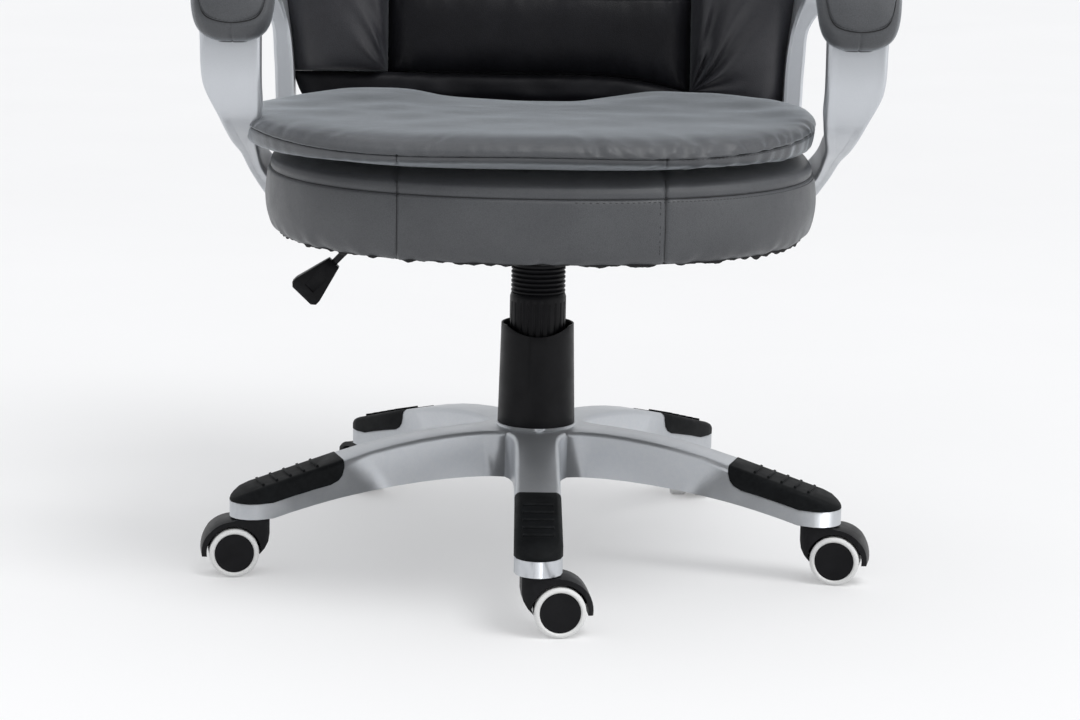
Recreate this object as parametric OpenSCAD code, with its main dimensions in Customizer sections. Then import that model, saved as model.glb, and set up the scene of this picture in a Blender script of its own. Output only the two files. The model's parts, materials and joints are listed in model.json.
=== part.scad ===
// Swivel office chair: five-leg base on twin-wheel casters, gas column with telescopic
// cover, rocking mechanism, double-layer seat, loop arms and a high padded back.
// Origin: on the floor under the column axis. The seat faces -Y, +Z is up.

/* [Base] */
// Distance from the column axis to each caster stem
stem_circle_r = 302; // [285:1:320]
// Height of the leg tops at the hub
hub_top_z = 141; // [136:1:146]
// Height of the leg undersides at the hub
hub_under_z = 91; // [86:1:96]
// Half width of a leg at its middle
leg_half_w = 22.5; // [21:0.5:25]
// Radius of the rounded leg tip round the caster stem
tip_r = 23.2; // [22:0.1:26]
// Wall thickness of the moulded legs
leg_wall = 3; // [2.5:0.1:4]
// Height of the flat band below each foot pad
band_h = 16; // [14:0.5:18]
// Distance from the column axis to the inner end of each foot pad
pad_start_r = 212; // [205:1:225]
// Thickness of the slip-resistant foot pads
pad_skin = 2.6; // [2:0.1:3]

/* [Casters] */
// Diameter of the caster wheels
wheel_d = 50; // [48:0.5:52]
// Distance between swivel axis and wheel axle
trail = 19.8; // [18:0.1:21]
// Width of one wheel
wheel_w = 18; // [16:0.5:19]
// Thickness of the soft tread
tread_t = 5.2; // [4:0.1:6]
// Diameter of the wheel axle
axle_d = 8; // [7:0.5:9]
// Diameter of the caster stem
stem_d = 11; // [10:0.5:11.5]
// Thickness of the web between the two wheels
web_t = 8; // [7:0.5:9]
// Radial gap between the wheels and the hood
hood_gap = 2.6; // [2:0.1:3]
// Thickness of the hood's fender
hood_t = 5; // [4:0.1:5.5]

/* [Column] */
// Outer diameter of the fixed column tube
tube_d = 50; // [48:0.5:51]
// Height of the column tube's mouth
tube_top_z = 236; // [225:1:238]
// Diameter of the moving gas cylinder
cylinder_d = 28; // [27:0.5:29]
// Diameter of the piston rod
rod_d = 10; // [9:0.5:11]
// Stroke of the gas column
lift_stroke = 80; // [60:1:80]
// Outer diameter of the lower cover at its foot
cover_foot_d = 80; // [79:0.5:82]
// Outer diameter of the lower cover at its mouth
cover_mouth_d = 75; // [74:0.5:76]
// Height of the lower cover's mouth
cover_top_z = 245; // [242:1:250]
// Outer diameter of the fluted middle sleeve
sleeve_d = 58; // [57:0.5:60]
// Height of the middle sleeve's top
sleeve_top_z = 277; // [273:1:280]
// Outer diameter of the ribs of the upper sleeve
rib_d = 56; // [55:0.5:57]
// Wall thickness of the plastic covers
cover_wall = 1.8; // [1.5:0.1:2]
// Number of flutes round the middle sleeve
flute_count = 24; // [18:1:28]

/* [Mechanism] */
// Height of the mechanism's underside
mech_z = 308; // [306:1:309]
// Half width of the mechanism housing
mech_half_w = 55; // [52:1:58]
// Sheet thickness of the mechanism
sheet_t = 3; // [2.5:0.1:3]
// Distance of the rocking pivot in front of the column
pivot_front = 30; // [28:1:32]
// Height of the rocking pivot
pivot_z = 336; // [334:1:337]
// Diameter of the pivot pin
pivot_d = 12; // [10:0.5:12]
// Largest backward lean of the seat
lean_deg = 12; // [8:1:12]
// Diameter of the lever rod
lever_d = 7; // [6:0.5:8]

/* [Seat] */
// Half width of the lower cushion
seat_half_w = 277; // [270:1:280]
// Half depth of the lower cushion in front of its widest line
seat_front = 243; // [230:1:250]
// Half depth of the lower cushion behind its widest line
seat_rear = 256; // [246:1:258]
// Distance of the seat's widest line in front of the column
seat_shift = 40; // [35:1:45]
// Height of the seam round the lower cushion's top
seat_seam_z = 416; // [410:1:418]
// Height of the lower cushion's flat top
seat_top_z = 433; // [430:0.5:434]
// Thickness of the plywood seat pan
pan_t = 12; // [10:0.5:13]
// Distance of the seat pan's edge inside the cushion
pan_inset = 22; // [20:1:26]
// Half width of the upper seat pad
topper_half_w = 283; // [274:1:284]
// Half depth of the upper seat pad in front of its widest line
topper_front = 248; // [236:1:252]
// Half depth of the upper seat pad behind its widest line
topper_rear = 203; // [195:1:204]
// Thickness of the upper seat pad
topper_t = 37; // [32:1:40]

/* [Arms] */
// Height of the arm loop's top bar
arm_top_z = 598; // [590:1:610]
// Half width of the outer faces of both arms at the front
arm_out_x = 334; // [330:1:340]
// Width of the front band of an arm
arm_band_w = 59; // [55:1:62]
// Thickness of the front band
arm_band_t = 24; // [20:1:26]
// Width of an arm pad
arm_pad_w = 84; // [78:1:88]
// Thickness of an arm pad
arm_pad_t = 44; // [36:1:46]

/* [Back] */
// Backward slope of the back
back_slope = 8; // [6:0.5:9]
// Height of the back above its foot
back_h = 700; // [680:1:720]
// Half width of the back at its foot
back_foot_hw = 258; // [250:1:260]
// Largest half width of the back
back_max_hw = 277; // [268:1:280]
// Half width of the back's centre panel
panel_hw = 163; // [155:1:168]
// Thickness of the back's padding
back_pad_t = 58; // [52:1:60]
// Thickness of the plywood back board
board_t = 12; // [10:0.5:13]

/* [Hidden] */
leg_count = 5;
leg_nodes = ["front", "right", "rear_right", "rear_left", "left"];
// Direction in which each caster trails, in the order of leg_nodes
trail_deg = [5, -12, 85, 120, 188];

// Fineness of true round surfaces
round_fn = 96;
// Overshoot of a cut past the face that it opens
eps = 1;
// Gap between touching pieces that move against each other
run_gap = 0.3;
// Radial clearance of a running fit
fit = 0.05;

silver = "#b9bdc4";
black = "#1b1b1d";
leather = "#55565a";
steel = "#8d9096";
white = "#ecebe6";
ply = "#b99b6b";

// Caster sizes that follow from the wheel
wheel_r = wheel_d / 2;
axle_z = wheel_r;
hood_in_r = wheel_r + hood_gap;
hood_out_r = hood_in_r + hood_t;
hood_top_z = axle_z + hood_out_r + 1;
stem_flange_t = 0.8;
tip_under_z = hood_top_z + run_gap + stem_flange_t;
stem_down = 8.5;
stem_tip_d = 5;
stem_tip_len = 9;
wheel_gap = 0.5;
hub_r = wheel_r - tread_t;

// Leg profile: the top is an arc that runs out straight below the foot pad, the underside an arc
top_arc_r = 600;
top_apex_r = 50;
top_drop = 3;
top_slope = 0.285;
under_arc_r = 775;
under_apex_r = 70;
shoulder = 5;
hub_r_out = 41;
flare = 12;
flare_len = 13;
// The stem ends below the leg's top by the foot pad's core and a cover of nylon
stem_cover = 2.8;
stem_up = leg_top(stem_circle_r) - pad_skin - 1 - stem_cover - tip_under_z;

function arc_drop(r, apex, rad) = r < apex ? 0 : rad - sqrt(rad * rad - pow(r - apex, 2));
function leg_top(r) = hub_top_z - top_drop - arc_drop(min(r, pad_start_r), top_apex_r, top_arc_r)
    - top_slope * max(r - pad_start_r, 0);
function leg_under(r) = max(hub_under_z - arc_drop(r, under_apex_r, under_arc_r), tip_under_z);
// The pad's lower edge runs a band above the underside, with a rounded inner corner
pad_corner = 14;
function corner_rise(r) = r >= pad_start_r + pad_corner ? 0 :
    pad_corner - sqrt(pad_corner * pad_corner - pow(pad_start_r + pad_corner - r, 2));
function band_top(r) = leg_under(r) + band_h + corner_rise(r);
function tip_w(r) = sqrt(max(tip_r * tip_r - pow(r - stem_circle_r, 2), 0));
function leg_w(r) = r > stem_circle_r ? max(tip_w(r), 3) :
    leg_half_w + flare * exp(-max(r - hub_r_out, 0) / flare_len)
    + (tip_r - leg_half_w) * max(0, min(1, (r - pad_start_r) / (stem_circle_r - pad_start_r)));

function mean(v) = [for (k = [0:2]) let(s = [for (p = v) p[k]]) sum(s) / len(s)];
function sum(v, i = 0, acc = 0) = i >= len(v) ? acc : sum(v, i + 1, acc + v[i]);
function lerp(a, b, t) = a + (b - a) * t;
function clamp01(t) = max(0, min(1, t));
function spow(v, e) = sign(v) * pow(abs(v), e);
function bell(d, w) = exp(-pow(d / w, 2));

// Closed solid through rings that share one point count, with a fan over each end
module skin(rings) {
    n = len(rings[0]);
    m = len(rings);
    points = [each [for (ring = rings) each ring], mean(rings[0]), mean(rings[m - 1])];
    walls = [for (i = [0:m - 2]) for (j = [0:n - 1])
        let(a = i * n + j, b = i * n + (j + 1) % n)
        each [[a, b + n, b], [a, a + n, b + n]]];
    first = [for (j = [0:n - 1]) [n * m, j, (j + 1) % n]];
    last = [for (j = [0:n - 1]) [n * m + 1, (m - 1) * n + (j + 1) % n, (m - 1) * n + j]];
    polyhedron(points, concat(walls, first, last));
}

// Closed ring-shaped solid, whose last ring joins the first
module loop_skin(rings) {
    n = len(rings[0]);
    m = len(rings);
    points = [each [for (ring = rings) each ring]];
    walls = [for (i = [0:m - 1]) for (j = [0:n - 1])
        let(i2 = (i + 1) % m, j2 = (j + 1) % n)
        each [[i * n + j, i2 * n + j2, i * n + j2], [i * n + j, i2 * n + j, i2 * n + j2]]];
    polyhedron(points, walls);
}

module at_leg(i) {
    rotate([0, 0, -90 + i * 360 / leg_count]) children();
}

// Moves to a caster's swivel axis and turns its X axis along the trail
module at_caster(i) {
    a = -90 + i * 360 / leg_count;
    translate([stem_circle_r * cos(a), stem_circle_r * sin(a), 0])
        rotate([0, 0, trail_deg[i]]) children();
}

// Star base

// Section of a leg across its length: flat underside, upright sides, rolled shoulders
function leg_ring(r, w, low, high, roll) = [for (p = [
    [w, low], [w, high - roll], [w - 0.17 * roll, high - 0.55 * roll],
    [w - 0.5 * roll, high - 0.2 * roll], [w - roll, high],
    [-w + roll, high], [-w + 0.5 * roll, high - 0.2 * roll],
    [-w + 0.17 * roll, high - 0.55 * roll], [-w, high - roll], [-w, low],
]) [r, p[0], p[1]]];

leg_stations = [8, 34, 44, 54, 66, 82, 105, 130, 155, 184];
module leg_body() {
    skin([for (r = [each leg_stations, pad_start_r])
        leg_ring(r, leg_w(r), leg_under(r), leg_top(r), shoulder)]);
}

pad_stations = [for (d = [0, 2, 6, 14, 32, 54, 74]) pad_start_r + d];
tip_stations = [for (a = [0, 25, 45, 60, 75, 86]) stem_circle_r + tip_r * sin(a)];
module leg_band() {
    skin([for (r = [pad_start_r - eps, each pad_stations, each tip_stations])
        let(w = leg_w(r), low = leg_under(r), high = band_top(max(r, pad_start_r)))
        [[r, w, low], [r, w, high], [r, -w, high], [r, -w, low]]]);
}

// Core that carries the foot pad; cut larger by clear for the pad's own hollow
core_end_r = stem_circle_r + 8;
function core_ring(r, clear) = leg_ring(r, leg_w(r) - pad_skin + clear, leg_under(r) + band_h / 2,
    leg_top(r) - pad_skin - 1 + clear, shoulder - pad_skin);
module leg_core(clear) {
    stations = [pad_start_r - eps, each [for (d = [14, 32, 54, 74]) pad_start_r + d],
        core_end_r + clear];
    skin([for (r = stations) core_ring(r, clear)]);
}

// Open pocket below a leg between two cross ribs
module leg_pocket(r1, r2) {
    roof = 5;
    skin([for (r = [r1, (r1 + r2) / 2, r2])
        let(w = leg_w(r) - leg_wall, low = leg_under(r) - eps,
            high = (r < pad_start_r - 8 ? leg_top(r) : leg_top(r) - pad_skin - 1) - roof)
        [[r, w, low], [r, w - 3, high], [r, 3 - w, high], [r, -w, low]]]);
}

rib_t = 2.5;
pocket_ends = [46, 92, 138, 184, 230, 276];
hub_bore_top_r = tube_d / 2;
hub_bore_low_r = tube_d / 2 - 1;
hub_low_z = hub_under_z - 5;

module star_base() {
    color(silver) difference() {
        union() {
            translate([0, 0, hub_low_z]) cylinder(r = hub_r_out - 4, h = hub_top_z - hub_low_z,
                $fn = round_fn);
            translate([0, 0, hub_under_z]) cylinder(r = hub_r_out, h = hub_top_z - hub_under_z,
                $fn = round_fn);
            for (i = [0:leg_count - 1]) at_leg(i) {
                leg_body();
                leg_band();
                leg_core(0);
            }
        }
        translate([0, 0, hub_low_z - eps / 2]) cylinder(r1 = hub_bore_low_r, r2 = hub_bore_top_r,
            h = hub_top_z - hub_low_z + eps, $fn = round_fn);
        for (i = [0:leg_count - 1]) at_leg(i) {
            for (k = [0:len(pocket_ends) - 2])
                leg_pocket(pocket_ends[k] + rib_t / 2, pocket_ends[k + 1] - rib_t / 2);
            translate([stem_circle_r, 0, tip_under_z - eps])
                cylinder(d = stem_d, h = stem_up + eps, $fn = round_fn);
        }
    }
}

// Foot pad: a cap over the leg end with five grip ribs
pad_rib_count = 5;
pad_rib_pitch = 14;
pad_rib_first = 26;
pad_rib_size = [2.6, 30, 4.4];
module foot_pad() {
    difference() {
        skin([for (r = [each pad_stations, each tip_stations])
            let(w = leg_w(r) + 0.4, low = band_top(r) + 0.2,
                nose = clamp01((r - stem_circle_r) / tip_r),
                high = lerp(leg_top(r) + 0.6, low + 3, pow(nose, 3)),
                roll = min(shoulder, (high - low) * 0.8, w * 0.9))
            leg_ring(r, w, low, high, roll)]);
        leg_core(0.15);
    }
    for (k = [0:pad_rib_count - 1]) {
        r = pad_start_r + pad_rib_first + k * pad_rib_pitch;
        translate([r, 0, leg_top(r) + 0.6]) rotate([0, atan(top_slope), 0])
            cube(pad_rib_size, center = true);
    }
}
module foot_pads() {
    color(black) for (i = [0:leg_count - 1]) at_leg(i) foot_pad();
}

module caster_stems() {
    groove = 0.8;
    color(steel) for (i = [0:leg_count - 1]) at_leg(i) translate([stem_circle_r, 0, 0])
        difference() {
            union() {
                translate([0, 0, tip_under_z - stem_flange_t - stem_down])
                    cylinder(d = stem_d, h = stem_down + stem_flange_t + stem_up, $fn = round_fn);
                translate([0, 0, tip_under_z - stem_flange_t - stem_down - stem_tip_len])
                    cylinder(d = stem_tip_d, h = stem_tip_len + eps, $fn = round_fn);
                translate([0, 0, tip_under_z - stem_flange_t])
                    cylinder(d = stem_d + 8, h = stem_flange_t, $fn = round_fn);
            }
            translate([0, 0, tip_under_z + stem_up - 7]) difference() {
                cylinder(d = stem_d + 4, h = 2, $fn = round_fn);
                translate([0, 0, -eps]) cylinder(d = stem_d - 2 * groove, h = 2 + 2 * eps, $fn = round_fn);
            }
        }
}

// Casters

// Side outline of the hood round the wheel centre, with the trail to +X
hood_nose_x = -trail - 16.5;
hood_low_z = -2;
hood_top = hood_out_r + 1;
function hood_outline() = [
    [hood_nose_x + 11, hood_low_z],
    [hood_nose_x + 5.5, 3.5], [hood_nose_x + 1.5, 10], [hood_nose_x, 18], [hood_nose_x, hood_top],
    [-2, hood_top],
    each [for (a = [88:-8:-8]) [hood_out_r * cos(a), hood_out_r * sin(a)]],
    each [for (a = [-8:8:176]) [hood_in_r * cos(a), hood_in_r * sin(a)]],
];
module across(w) {
    translate([0, w / 2, 0]) rotate([90, 0, 0]) linear_extrude(w) children();
}
hood_w = web_t + 2 * wheel_w - 3;
module caster_hood(i) {
    boss_r = axle_d / 2 + 5;
    color(black) at_caster(i) difference() {
        union() {
            translate([trail, 0, axle_z]) {
                intersection() {
                    across(hood_w) polygon(hood_outline());
                    // Plan of the hood: rounded at the stem and drawn in towards the tail
                    translate([-trail, 0, -wheel_r]) linear_extrude(wheel_d * 2) polygon([
                        each [for (a = [90:12:270]) [-0.3 + 20 * cos(a), (hood_w / 2) * sin(a)]],
                        [trail + hood_out_r - 9, -hood_w / 2], [trail + hood_out_r, -hood_w / 2 + 7],
                        [trail + hood_out_r, hood_w / 2 - 7], [trail + hood_out_r - 9, hood_w / 2],
                    ]);
                }
                across(web_t) polygon([
                    each [for (a = [-60:15:100]) [boss_r * cos(a), boss_r * sin(a)]],
                    [-4, hood_out_r - 2], [-trail - 9, hood_out_r - 2], [-trail - 9, 4],
                    each [for (a = [200:20:280]) [boss_r * cos(a), boss_r * sin(a)]],
                ]);
                across(web_t) polygon([
                    [0, 0],
                    each [for (a = [10:10:100]) [(hood_out_r - 2) * cos(a), (hood_out_r - 2) * sin(a)]],
                ]);
            }
        }
        translate([0, 0, hood_top_z - stem_down])
            cylinder(r = stem_d / 2 + fit, h = stem_down + eps, $fn = round_fn);
        translate([0, 0, hood_top_z - stem_down - stem_tip_len])
            cylinder(r = stem_tip_d / 2 + fit, h = stem_tip_len + eps, $fn = round_fn);
        translate([trail, 0, axle_z]) rotate([90, 0, 0])
            cylinder(r = axle_d / 2 + fit, h = hood_w + eps, center = true, $fn = round_fn);
    }
}

wheel_in_y = web_t / 2 + wheel_gap;
module caster_axle(i) {
    color(steel) at_caster(i) translate([trail, 0, axle_z]) rotate([90, 0, 0])
        cylinder(d = axle_d, h = 2 * wheel_in_y + 2 * (wheel_w - 4), center = true, $fn = round_fn);
}

// Wheel turned about Z from its inner face at 0 to its outer face at wheel_w
module wheel_hub() {
    dish = 1.2;
    rim = hub_r - 2.5;
    bore = axle_d / 2;
    rotate_extrude($fn = round_fn) polygon([
        [bore, 0], [bore + 4, 0], [bore + 4, wheel_w - 7], [rim, wheel_w - 7], [rim, 1], [hub_r, 1],
        [hub_r, wheel_w - 1.5], [hub_r - 1.2, wheel_w - dish], [hub_r - 3, wheel_w - dish - 0.6],
        [0, wheel_w - dish],
        [0, wheel_w - 4], [bore, wheel_w - 4],
    ]);
}
module wheel_tread() {
    edge = 3;
    rotate_extrude($fn = round_fn) polygon([
        [hub_r, 1], [hub_r, wheel_w - 1.5], [hub_r + 1.2, wheel_w],
        [wheel_r - edge, wheel_w],
        each [for (a = [70:-20:10]) [wheel_r - edge + edge * cos(a), wheel_w - edge + edge * sin(a)]],
        [wheel_r, wheel_w - edge], [wheel_r, edge],
        each [for (a = [-10:-20:-70]) [wheel_r - edge + edge * cos(a), edge + edge * sin(a)]],
        [wheel_r - edge, 0], [hub_r + 1, 0],
    ]);
}
module wheel_pair(i) {
    at_caster(i) translate([trail, 0, axle_z]) for (side = [-1, 1])
        translate([0, side * wheel_in_y, 0]) rotate([-side * 90, 0, 0]) children();
}
module wheel_hubs(i) {
    color(black) wheel_pair(i) wheel_hub();
}
module wheel_treads(i) {
    color(white) wheel_pair(i) wheel_tread();
}

// Column

tube_wall = 2;
tube_low_z = hub_low_z;
floor_t = 3;
bush_in_z = 156;
bearing_h = 9;
module column_tube() {
    taper_z = hub_top_z;
    color(black) difference() {
        union() {
            translate([0, 0, tube_low_z]) cylinder(r1 = hub_bore_low_r, r2 = hub_bore_top_r,
                h = taper_z - tube_low_z, $fn = round_fn);
            translate([0, 0, taper_z])
                cylinder(r = hub_bore_top_r, h = tube_top_z - taper_z, $fn = round_fn);
        }
        translate([0, 0, tube_low_z + floor_t]) cylinder(r = tube_d / 2 - 1 - tube_wall,
            h = tube_top_z - tube_low_z, $fn = round_fn);
        translate([0, 0, tube_low_z - eps])
            cylinder(r = rod_d / 2 + fit, h = floor_t + 2 * eps, $fn = round_fn);
    }
}

module guide_bush() {
    color(white) difference() {
        union() {
            translate([0, 0, bush_in_z])
                cylinder(r = tube_d / 2 - 1 - tube_wall, h = tube_top_z - bush_in_z, $fn = round_fn);
            translate([0, 0, tube_top_z]) cylinder(r = tube_d / 2 - 0.5, h = 1.5, $fn = round_fn);
        }
        translate([0, 0, bush_in_z - eps])
            cylinder(r = cylinder_d / 2 + fit, h = tube_top_z - bush_in_z + 4, $fn = round_fn);
    }
}

// Ball race that lets the piston rod turn on the tube's floor
module thrust_bearing() {
    z0 = tube_low_z + floor_t;
    color(steel) translate([0, 0, z0]) rotate_extrude($fn = round_fn) polygon([
        [rod_d / 2 + 0.3, 0], [rod_d / 2 + 7, 0], [rod_d / 2 + 7, 2.5], [rod_d / 2 + 5.5, 3.2],
        [rod_d / 2 + 5.5, bearing_h - 3.2], [rod_d / 2 + 7, bearing_h - 2.5], [rod_d / 2 + 7, bearing_h],
        [rod_d / 2 + 0.3, bearing_h],
    ]);
}

// The cylinder's lower end, its end plate and the piston's head
cyl_low_z = 104;
gland_t = 6;
head_t = 8;
rod_top_z = cyl_low_z + gland_t + lift_stroke + head_t + 1;
rod_out = 6;
module piston_rod() {
    collar_z = tube_low_z + floor_t + bearing_h + run_gap;
    color(steel) {
        translate([0, 0, tube_low_z - rod_out])
            cylinder(d = rod_d, h = rod_top_z - tube_low_z + rod_out, $fn = round_fn);
        translate([0, 0, collar_z]) cylinder(d = rod_d + 9, h = 3, $fn = round_fn);
        translate([0, 0, rod_top_z - head_t])
            cylinder(d = cylinder_d - 4 - 2 * fit, h = head_t, $fn = round_fn);
    }
}

module retaining_clip() {
    color(steel) translate([0, 0, tube_low_z - 1.2 - run_gap]) difference() {
        cylinder(d = rod_d + 8, h = 1.2, $fn = round_fn);
        translate([0, 0, -eps]) cylinder(d = rod_d, h = 4, $fn = round_fn);
        translate([0, -1.5, -eps]) cube([rod_d, 3, 4]);
    }
}

module cover_lower() {
    dip = 9;
    dip_r = 60;
    color(black) difference() {
        translate([0, 0, hub_top_z]) cylinder(d1 = cover_foot_d, d2 = cover_mouth_d,
            h = cover_top_z - hub_top_z, $fn = round_fn);
        translate([0, 0, hub_top_z - eps]) cylinder(r1 = cover_foot_d / 2 - cover_wall,
            r2 = cover_mouth_d / 2 - cover_wall, h = cover_top_z - hub_top_z + 2 * eps, $fn = round_fn);
        // Shallow dip of the rim at the front
        translate([0, 0, cover_top_z - dip + dip_r]) rotate([90, 0, 0])
            cylinder(r = dip_r, h = cover_foot_d, $fn = round_fn);
    }
    // Snap ring that grips the column tube inside the cover's foot
    color(black) translate([0, 0, hub_top_z]) difference() {
        cylinder(r = cover_foot_d / 2 - cover_wall / 2, h = 3, $fn = round_fn);
        translate([0, 0, -eps]) cylinder(d = tube_d, h = 3 + 2 * eps, $fn = round_fn);
    }
}

sleeve_len = 102;
flute_r = 1.6;
module cover_middle() {
    r = sleeve_d / 2;
    low = sleeve_top_z - sleeve_len;
    // Foot flange that keeps the sleeve centred in the lower cover, and the lip at its mouth
    flange_r = cover_mouth_d / 2 - cover_wall - 0.5;
    lip_r = r - cover_wall - 0.6;
    color(black) difference() {
        translate([0, 0, low]) rotate_extrude($fn = round_fn) polygon([
            [r - cover_wall, 0], [flange_r, 0], [flange_r, cover_wall], [r, cover_wall],
            [r, sleeve_len - 4], [r - 1.4, sleeve_len],
            [lip_r, sleeve_len], [lip_r, sleeve_len - 4], [r - cover_wall, sleeve_len - 5],
        ]);
        for (k = [0:flute_count - 1]) rotate([0, 0, (k + 0.5) * 360 / flute_count]) {
            translate([r + 0.7, 0, low + 12]) cylinder(r = flute_r, h = sleeve_len - 20, $fn = 24);
        }
    }
}

cyl_top_z = 323.5;
pin_bore_r = 4;
boss_r = 20;
module gas_cylinder() {
    bore_r = cylinder_d / 2 - 2;
    head = 24;
    color(black) difference() {
        translate([0, 0, cyl_low_z]) cylinder(d = cylinder_d, h = cyl_top_z - cyl_low_z, $fn = round_fn);
        translate([0, 0, cyl_low_z + gland_t])
            cylinder(r = bore_r, h = cyl_top_z - cyl_low_z - gland_t - head, $fn = round_fn);
        translate([0, 0, cyl_low_z - eps])
            cylinder(r = rod_d / 2 + fit, h = gland_t + 2 * eps, $fn = round_fn);
        translate([0, 0, cyl_top_z - 18]) cylinder(r = pin_bore_r + fit, h = 18 + eps, $fn = round_fn);
    }
}

upper_len = 80;
upper_wall = 1;
upper_ribs = 6;
module cover_upper() {
    r = sleeve_d / 2 - cover_wall - 0.9;
    z0 = mech_z - upper_len;
    ribs_z = sleeve_top_z + 0.6;
    pitch = (mech_z - ribs_z) / (upper_ribs + 0.4);
    color(black) translate([0, 0, z0]) rotate_extrude($fn = round_fn) polygon([
        [r - upper_wall, 0], [r, 0], [r, ribs_z - z0],
        each [for (k = [0:upper_ribs - 1]) let(z = ribs_z - z0 + k * pitch) each [
            [rib_d / 2, z + 0.8], [rib_d / 2, z + pitch * 0.5], [r - 0.2, z + pitch * 0.75],
        ]],
        [r, upper_len], [r - upper_wall, upper_len],
    ]);
}

// Mechanism

plate_z = 347.6;
plate_top_z = plate_z + sheet_t;
housing_front = -100;
nose_up = 23;
housing_rear = 68;
// The rear of the housing stays clear of the seat plate at its full lean
rear_top_z = plate_z - 2.8 - (housing_rear + pivot_front) * tan(lean_deg);
knee_y = -pivot_front + 10;
bush_x = -mech_half_w + sheet_t / 2;
lever_z = 331.5;
pin_top_z = lever_z - lever_d / 2 - run_gap;

// Side outline of the pressed housing; the rear falls away to let the seat rock
function housing_outline(d, top) = [
    [housing_front + d, mech_z + nose_up + d], [-14, mech_z + d], [housing_rear - d, mech_z + d],
    [housing_rear - d, rear_top_z + top], [knee_y, plate_z - 3 + top],
    [housing_front + d, plate_z - 3 + top],
];
module side_extrude(w) {
    rotate([90, 0, 90]) translate([0, 0, -w / 2]) linear_extrude(w) children();
}
module mechanism_housing() {
    color(black) difference() {
        union() {
            // Pressed trough, open above
            difference() {
                side_extrude(2 * mech_half_w) polygon(housing_outline(0, 0));
                difference() {
                    side_extrude(2 * (mech_half_w - sheet_t)) polygon(housing_outline(sheet_t, 20));
                    translate([0, 0, mech_z - eps]) cylinder(r = boss_r, h = 60, $fn = round_fn);
                }
            }
            translate([0, 0, mech_z - 18]) cylinder(r = boss_r, h = cyl_top_z - mech_z + 18, $fn = round_fn);
        }
        translate([0, 0, mech_z - 19]) cylinder(d = cylinder_d, h = 60, $fn = round_fn);
        translate([0, 0, cyl_top_z]) cylinder(r = boss_r + eps, h = 30, $fn = round_fn);
        translate([0, -pivot_front, pivot_z]) rotate([0, 90, 0])
            cylinder(d = pivot_d, h = 2 * mech_half_w + eps, center = true, $fn = round_fn);
        // Window that the lever's bush rocks in
        translate([bush_x, 0, lever_z])
            cube([3 * sheet_t, bush_w + 2 * run_gap, 2 * bush_r + run_gap], center = true);
    }
}

ear_gap = 0.4;
module pivot_pin() {
    len_x = 2 * (mech_half_w + ear_gap + sheet_t) + 4;
    color(steel) translate([0, -pivot_front, pivot_z]) rotate([0, 90, 0])
        cylinder(d = pivot_d, h = len_x, center = true, $fn = round_fn);
}

// Spring under the plate behind the column, wound as one unbroken wire
spring_r = 9.5;
wire_r = 1.6;
spring_turns = 4;
spring_y = 44;
spring_low_z = mech_z + sheet_t;
spring_h = plate_z - spring_low_z;
module tilt_spring() {
    steps = spring_turns * 8;
    rise = (spring_h - 2 * wire_r - 0.4) / spring_turns;
    rings = [for (s = [0:steps]) let(a = s * 45, z = spring_low_z + wire_r + 0.2 + rise * s / 8)
        [for (k = [0:5]) let(b = k * 60 + 30)
            [(spring_r + wire_r * cos(b)) * cos(a), spring_y + (spring_r + wire_r * cos(b)) * sin(a),
                z + wire_r * sin(b)]]];
    turn_gap = rise - 2 * wire_r;
    echo(spring_turn_gap = turn_gap);
    color(steel) mirror_rings(rings);
}
module mirror_rings(rings) {
    skin([for (ring = rings) [for (k = [len(ring) - 1:-1:0]) ring[k]]]);
}

module release_pin() {
    color(white) translate([0, 0, cyl_top_z - 12]) {
        cylinder(r = pin_bore_r, h = pin_top_z - cyl_top_z + 12, $fn = round_fn);
    }
}

// Drum that rocks in the housing's window; a groove round it holds it in the wall
bush_r = 5;
bush_w = 12;
bush_rim = 1.2;
module lever_bush() {
    color(white) translate([bush_x, 0, lever_z]) difference() {
        union() {
            rotate([90, 0, 0]) cylinder(r = bush_r, h = bush_w, center = true, $fn = round_fn);
            difference() {
                rotate([90, 0, 0]) cylinder(r = bush_r + bush_rim, h = bush_w, center = true,
                    $fn = round_fn);
                cube([sheet_t + 1.2, bush_w + 1, 4 * bush_r], center = true);
            }
        }
        rotate([0, 90, 0]) cylinder(r = lever_d / 2 + fit, h = 4 * bush_r, center = true, $fn = round_fn);
    }
}

// Corners of the rod from inside the housing out to the grip: [x, z]
lever_path = [[8, lever_z], [-66, lever_z], [-190, 325.5], [-220, 294.4]];
rod_bend_r = 22;
rod_sides = 20;
// The bent middle is a trifle thicker than the round ends that slide in it
rod_bent_r = (lever_d / 2 + fit) / cos(180 / rod_sides);
// The grip sits on the rod's last straight
grip_run = lever_path[3] - lever_path[2];
grip_turn = atan2(-grip_run[1], -grip_run[0]);
lever_end = lever_path[2] + 30 * grip_run / norm(grip_run);
function heading(k) = let(run = lever_path[k + 1] - lever_path[k]) (atan2(run[1], run[0]) + 360) % 360;
function ahead(a) = [cos(a), sin(a)];
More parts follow.
